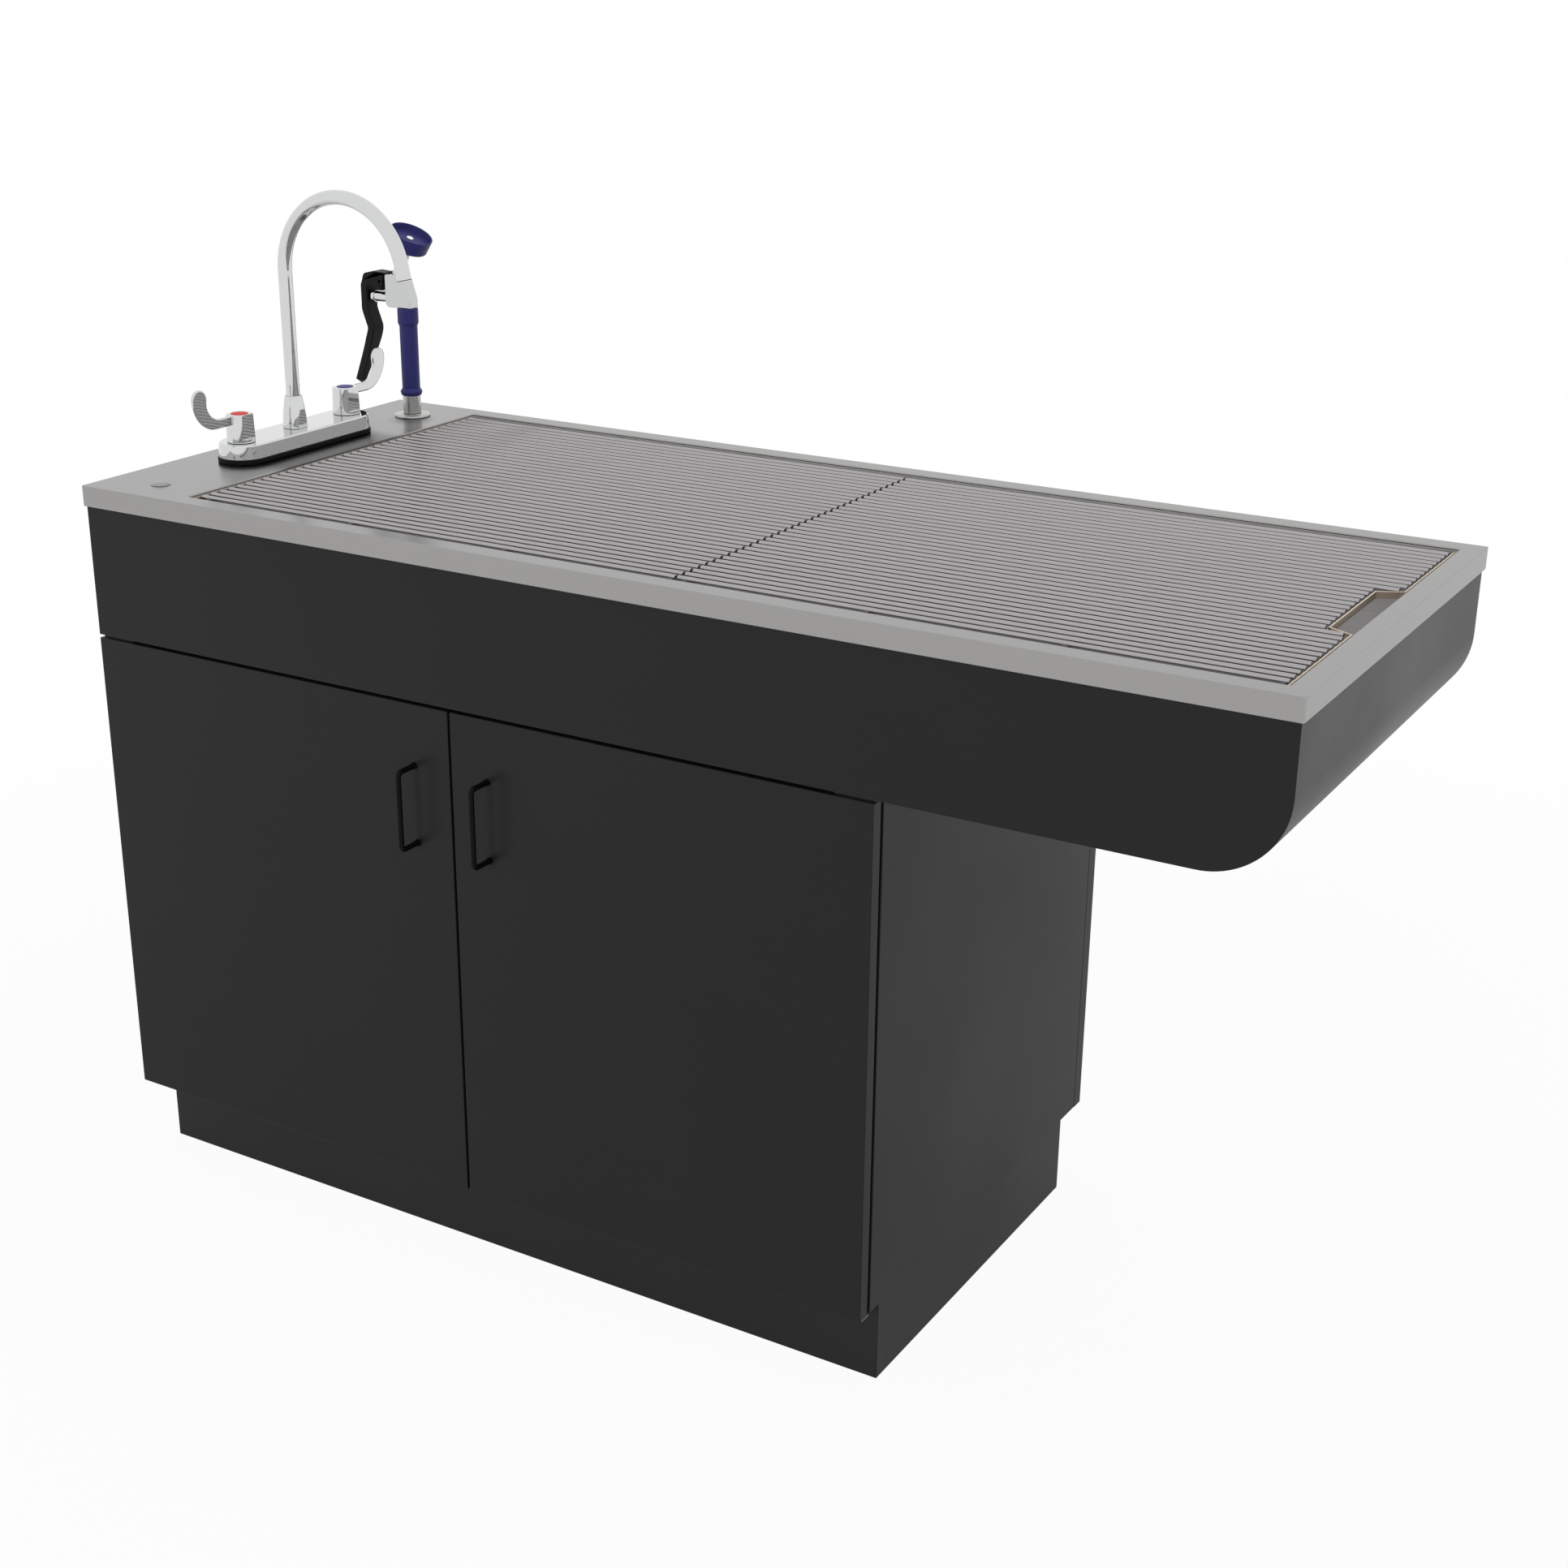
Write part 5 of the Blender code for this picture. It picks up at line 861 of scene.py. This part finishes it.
def build_bumper():
    """The cup-shaped bumper, leaning on its neck, and the nozzle in its floor."""
    base = (BUMPER_X, SPRAY_Y, BUMPER_Z)
    line = ((0.006, 0.0), (0.027, 0.0), (0.0295, 0.02), (0.0278, 0.02), (0.0253, 0.012), (0.006, 0.012))
    radii = (0.0, 0.0016, 0.0008, 0.0008, 0.001, 0.0)
    make_piece("spray_cup", [turned(line, radii, base, lean=BUMPER_LEAN, steps=5)], "blue moulding",
               "spray_gun", "blue_plastic", "spray_bumper")
    line = ((0.002, 0.0121), (0.0047, 0.0121), (0.0046, 0.014), (0.0008, 0.014))
    make_piece("spray_jet", [turned(line, (0.0, 0.0, 0.0003, 0.0), base, lean=BUMPER_LEAN)],
               "bright nozzle", "spray_gun", "chrome", "spray_nozzle")


def build_lever():
    """The trigger lever: a bar of even thickness along a flowing line, with an arm and a plate at
    its top that reach over the valve body, and a fork for the ear. Below its middle it narrows
    evenly to its tip."""
    thick, length, half, tip_half, gap = 0.0112, 0.152, 0.011, 0.0045, SEAT_GAP
    arm_top = LEVER_HIGH.z - 0.0012
    plate_low = arm_top - 0.0016
    top = plate_low - gap
    arm_low = top - 0.0165
    face = VALVE_FACE_X - gap
    middle = PLUNGER_LOW.x - gap - thick / 2
    shares = np.array(((0.0, 0.274), (0.002, 0.339), (0.039, 0.442), (0.056, 0.505), (0.029, 0.597),
                       (-0.022, 0.722), (-0.149, 1.0)))
    bends = np.concatenate((((middle, arm_low),), np.array((middle, arm_top)) + shares * length * (1, -1)))
    line = flowing_line(bends, 60)
    side = line_normals(line) * thick / 2
    outer, inner = line + side, line - side
    if outer[0, 0] > inner[0, 0]:
        outer, inner = inner, outer
    fork = LEVER_PIVOT_X - 0.0056
    back = middle - thick / 2
    bend = ((back + 2.0 * thick, arm_top + 0.0012), (back + 0.5 * thick, arm_top - 0.25 * thick),
            (back + 0.25 * thick, arm_top - thick), (back, arm_low))
    corner = round_corners(bend, (0.0, 0.006, 0.025, 0.0), closed=False, steps=8)[0]
    hook = ((fork, arm_low), (fork, plate_low), (face + 0.0015, plate_low),
            (face + 0.0015, plate_low + 0.0008), (face, arm_top))
    outline = anticlockwise(np.concatenate((inner[::-1], hook, corner, outer[1:])))
    ends = soft_ends(SPRAY_Y - half, SPRAY_Y + half, 0.0016, 0.0016)
    shells = [carry("XZ", outline, line_normals(outline, closed=True), ends)]
    low = arm_low - 0.0055
    cheek = ((fork - 0.001, low), (face - 0.0035, low), (face, plate_low + 0.001),
             (fork - 0.002, plate_low + 0.001))
    cheek, cheek_normals = round_corners(cheek, 0.0005, steps=2)
    for start, end in ((-half, -0.0046), (0.0046, half)):
        ends = soft_ends(SPRAY_Y + start, SPRAY_Y + end, 0.0008, 0.0008)
        shells.append(carry("XZ", cheek, cheek_normals, ends))
    narrow_from, tip = arm_top - length * 0.6, arm_top - length
    for rings in shells:
        share = np.clip((narrow_from - rings[..., 2]) / (narrow_from - tip), 0.0, 1.0)
        rings[..., 1] = SPRAY_Y + (rings[..., 1] - SPRAY_Y) * (1 - share * (1 - tip_half / half))
    make_piece("trigger_lever", shells, "black moulding", "spray_lever", "lever_plastic", "spray_lever")


def build_plunger():
    """The plunger: a shaft with a domed head, turned about an axis along X."""
    level = (PLUNGER_LOW.z + PLUNGER_HIGH.z) / 2
    line = ((0.0008, 0.0), (0.0045, 0.0008), (0.0084, 0.0034), (0.0084, 0.008), (0.007, 0.008),
            (0.007, 0.0375), (0.005, 0.0375))
    rings = turned(line, (0.0, 0.006, 0.0008, 0.0006, 0.0003, 0.0005, 0.0), (PLUNGER_LOW.x, SPRAY_Y, level),
                   lean=pi / 2, sides=40)
    make_piece("plunger_rod", [rings], "chrome plate", "spray_plunger", "chrome", "spray_plunger")


def build_plug():
    """The domed plug in the deck's spare hole."""
    centre = (PLUG_LOW + PLUG_HIGH) / 2
    base, radius = TOP_HIGH.z + SEAT_GAP, (PLUG_HIGH.x - PLUG_LOW.x) / 2
    line = ((0.004, PLUG_LOW.z), (0.009, PLUG_LOW.z), (0.009, base), (radius, base),
            (radius * 0.62, PLUG_HIGH.z - 0.0004), (0.0008, PLUG_HIGH.z))
    rings = turned(line, (0.0, 0.0006, 0.0003, 0.0001, 0.011, 0.0), (centre.x, centre.y, 0.0), steps=8)
    make_piece("deck_plug", [rings], "brushed steel with painted shade", "table", "stainless_steel", "hole_plug")


def build_pull(door):
    """A door pull: a round wire bent out of the door, down, and back into it. Its radius grows with
    the square of the nearness to the door, so that both ends have a small foot."""
    low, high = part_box(door + "_pull")
    radius, bend, foot_length, foot_flare = 0.0032, 0.006, 0.012, 0.001
    grip, top, bottom = low.y + radius, high.z - radius, low.z + radius
    corners = ((high.y, top), (grip, top), (grip, bottom), (high.y, bottom))
    line = round_corners(corners, (0.0, bend, bend, 0.0), closed=False, steps=10)[0]
    post = np.linspace(high.y, grip + bend, 12)[:-1]
    line = np.concatenate((np.stack((post, np.full(11, top)), axis=1), line[1:-1],
                           np.stack((post[::-1], np.full(11, bottom)), axis=1)))
    near = np.clip(1.0 - (high.y - line[:, 0]) / foot_length, 0.0, 1.0)
    rings = tube("YZ", line, (low.x + high.x) / 2, radius + foot_flare * near ** 2, 24)
    make_piece(door + "_wire", [rings], "black powder coat", door, "black_wire", door + "_pull")


# The studio

CAMERA_PLACE = (1.35762, -2.2651, 1.58144)
CAMERA_RIGHT = (0.84942, 0.52771, -0.00024)
CAMERA_UP = (-0.19301, 0.3111, 0.93057)
CAMERA_VIEW = (-0.49115, 0.7904, -0.36612)


def place_camera():
    """The camera at the photograph's viewing angle."""
    data = bpy.data.cameras.new("Studio camera")
    data.lens = 53.745
    data.sensor_width = 36.0
    data.shift_x = 0.04492
    data.shift_y = 0.01935
    data.clip_end = 60.0
    camera = bpy.data.objects.new("Studio camera", data)
    columns = [Vector(CAMERA_RIGHT), Vector(CAMERA_UP), -Vector(CAMERA_VIEW)]
    turn = Matrix(columns).transposed().to_4x4()
    camera.matrix_world = Matrix.Translation(CAMERA_PLACE) @ turn
    bpy.context.scene.collection.objects.link(camera)
    bpy.context.scene.camera = camera


def build_world():
    """A white surround for the rays that see it or its mirror image, and a weaker one as a light."""
    world = bpy.data.worlds.new("Studio surround")
    world.use_nodes = True
    tree = world.node_tree
    tree.nodes.clear()
    path = add_node(tree, "LightPath")
    first, seen = (add_node(tree, "Math", operation="MAXIMUM") for _ in range(2))
    light = add_node(tree, "Background", {"Strength": 0.5})
    white = add_node(tree, "Background", {"Strength": 1.0, "Color": (1.0, 1.0, 1.0, 1.0)})
    mix = add_node(tree, "MixShader")
    out = add_node(tree, "OutputWorld")
    link_all(tree, (path, "Is Camera Ray", first, 0), (path, "Is Glossy Ray", first, 1),
             (first, 0, seen, 0), (path, "Is Transmission Ray", seen, 1), (seen, 0, mix, 0),
             (light, 0, mix, 1), (white, 0, mix, 2), (mix, 0, out, "Surface"))
    bpy.context.scene.world = world


def build_floor():
    """A pale floor: it takes the table's shadow nearby, and fades to white further off."""
    tree, shader, place, effect = start_finish("studio floor", "Pebbled skin", Scale=40.0)
    two_tone(tree, effect, "Cloud", table_colours().floor, 0.015, shader)
    shader.inputs["Roughness"].default_value = 0.7
    emboss(tree, effect, shader, 0.05, 0.0001)
    white = add_node(tree, "Emission")
    distance = add_node(tree, "VectorMath", operation="LENGTH")
    path = add_node(tree, "LightPath")
    either = add_node(tree, "Math", operation="MAXIMUM")
    for entry, (ray, least) in enumerate((("Is Camera Ray", 0.95), ("Is Glossy Ray", 0.4))):
        fade = add_node(tree, "MapRange", {"From Min": 1.0, "From Max": 2.9, "To Min": least},
                        interpolation_type="SMOOTHSTEP")
        share = add_node(tree, "Math", operation="MULTIPLY")
        link_all(tree, (distance, "Value", fade, "Value"), (fade, "Result", share, 0), (path, ray, share, 1),
                 (share, 0, either, entry))
    mix = add_node(tree, "MixShader")
    link_all(tree, (place, "Object", distance, 0), (either, 0, mix, 0), (shader, 0, mix, 1),
             (white, 0, mix, 2), (mix, 0, tree.nodes["Material Output"], "Surface"))
    sides, below = 96, -0.0005
    angle = np.arange(sides) * 2 * pi / sides
    reach = np.array((0.4, 1.0, 2.0, 4.0, 9.0))[:, None]
    rings = lift("XY", np.stack((reach * np.cos(angle), reach * np.sin(angle)), axis=-1), below)
    points, faces = skin(rings)
    mesh = bpy.data.meshes.new("studio_floor")
    mesh.from_pydata(points.tolist(), [], faces[:-1])
    mesh.materials.append(bpy.data.materials["studio floor"])
    floor = bpy.data.objects.new("studio_floor", mesh)
    bpy.context.scene.collection.objects.link(floor)


def add_softbox(name, place, aim, size, power):
    """A square lamp that faces a point."""
    data = bpy.data.lights.new(name, "AREA")
    data.size = size
    data.energy = power
    lamp = bpy.data.objects.new(name, data)
    lamp.location = place
    lamp.rotation_euler = (Vector(aim) - Vector(place)).to_track_quat("-Z", "Y").to_euler()
    lamp.visible_glossy = False
    bpy.context.scene.collection.objects.link(lamp)


def build_lamps():
    """Soft lamps: one above, one to the right, and a smaller one in front."""
    add_softbox("Top softbox", (0.3, 0.2, 4.0), (0.0, 0.0, 0.9), 3.0, 36.0)
    add_softbox("Right softbox", (4.2, -0.6, 2.2), (0.3, 0.0, 0.6), 2.6, 15.0)
    add_softbox("Front softbox", (-0.8, -5.2, 1.5), (0.1, 0.0, 0.6), 1.5, 108.0)


# The steps

class WETTABLE_OT_finishes(Operator):
    """Make the finishes of the table"""

    bl_idname = "wettable.finishes"
    bl_label = "Finishes"

    def execute(self, context):
        make_finishes()
        return {"FINISHED"}


class WETTABLE_OT_boards(Operator):
    """Build the plinth, the carcass, the doors and the apron"""

    bl_idname = "wettable.boards"
    bl_label = "Boards"

    def execute(self, context):
        build_boards()
        build_apron()
        return {"FINISHED"}


class WETTABLE_OT_top(Operator):
    """Build the steel top and finish the basin"""

    bl_idname = "wettable.top"
    bl_label = "Steel top"

    def execute(self, context):
        build_top()
        build_plug()
        return {"FINISHED"}


class WETTABLE_OT_grates(Operator):
    """Build the two rod grates"""

    bl_idname = "wettable.grates"
    bl_label = "Grates"

    def execute(self, context):
        build_grate("left_grate", False)
        build_grate("right_grate", True)
        return {"FINISHED"}


class WETTABLE_OT_faucet(Operator):
    """Build the gasket, deck plate, socket and gooseneck"""

    bl_idname = "wettable.faucet"
    bl_label = "Faucet"

    def execute(self, context):
        build_faucet_base()
        build_spout()
        return {"FINISHED"}


class WETTABLE_OT_handles(Operator):
    """Build the hot and cold lever handles with their caps"""

    bl_idname = "wettable.handles"
    bl_label = "Lever handles"

    def execute(self, context):
        build_handle("hot", -1, "red cap", "red_cap")
        build_handle("cold", 1, "blue cap", "blue_cap")
        return {"FINISHED"}


class WETTABLE_OT_spray(Operator):
    """Build the hand spray and its holder"""

    bl_idname = "wettable.spray"
    bl_label = "Hand spray"

    def execute(self, context):
        build_spray_holder()
        build_spray_grip()
        build_valve_body()
        build_bumper()
        build_lever()
        build_plunger()
        return {"FINISHED"}


class WETTABLE_OT_fittings(Operator):
    """Build the door pulls and finish the hinges, valves and drain"""

    bl_idname = "wettable.fittings"
    bl_label = "Fittings"

    def execute(self, context):
        build_pull("left_door")
        build_pull("right_door")
        build_drain()
        return {"FINISHED"}


class WETTABLE_OT_stage(Operator):
    """Build the floor, the surround, the lamps and the camera"""

    bl_idname = "wettable.stage"
    bl_label = "Studio"

    def execute(self, context):
        build_world()
        build_floor()
        build_lamps()
        place_camera()
        view = context.scene.view_settings
        view.view_transform = "Standard"
        return {"FINISHED"}


STEPS = (WETTABLE_OT_finishes, WETTABLE_OT_boards, WETTABLE_OT_top, WETTABLE_OT_grates, WETTABLE_OT_faucet,
         WETTABLE_OT_handles, WETTABLE_OT_spray, WETTABLE_OT_fittings, WETTABLE_OT_stage)


class WETTABLE_PT_steps(Panel):
    """The steps and settings of the wet table"""

    bl_idname = "WETTABLE_PT_steps"
    bl_label = "Wet Table"
    bl_space_type = "VIEW_3D"
    bl_region_type = "UI"
    bl_category = "Wet Table"

    def draw(self, context):
        for step in STEPS:
            self.layout.operator(step.bl_idname)
        for group in (context.scene.wet_table_sizes, context.scene.wet_table_colours):
            column = self.layout.column()
            for label in group.__annotations__:
                column.prop(group, label)


CLASSES = (WetTableSizes, WetTableColours, *STEPS, WETTABLE_PT_steps)


def register():
    """Register the classes and the scene's settings."""
    for item in CLASSES:
        bpy.utils.register_class(item)
    bpy.types.Scene.wet_table_sizes = PointerProperty(type=WetTableSizes)
    bpy.types.Scene.wet_table_colours = PointerProperty(type=WetTableColours)


def unregister():
    """Take the settings and the classes away again."""
    del bpy.types.Scene.wet_table_colours
    del bpy.types.Scene.wet_table_sizes
    for item in reversed(CLASSES):
        bpy.utils.unregister_class(item)


def main():
    """Run every step in order."""
    register()
    for step in STEPS:
        family, action = step.bl_idname.split(".")
        getattr(getattr(bpy.ops, family), action)()


if __name__ == "__main__":
    main()
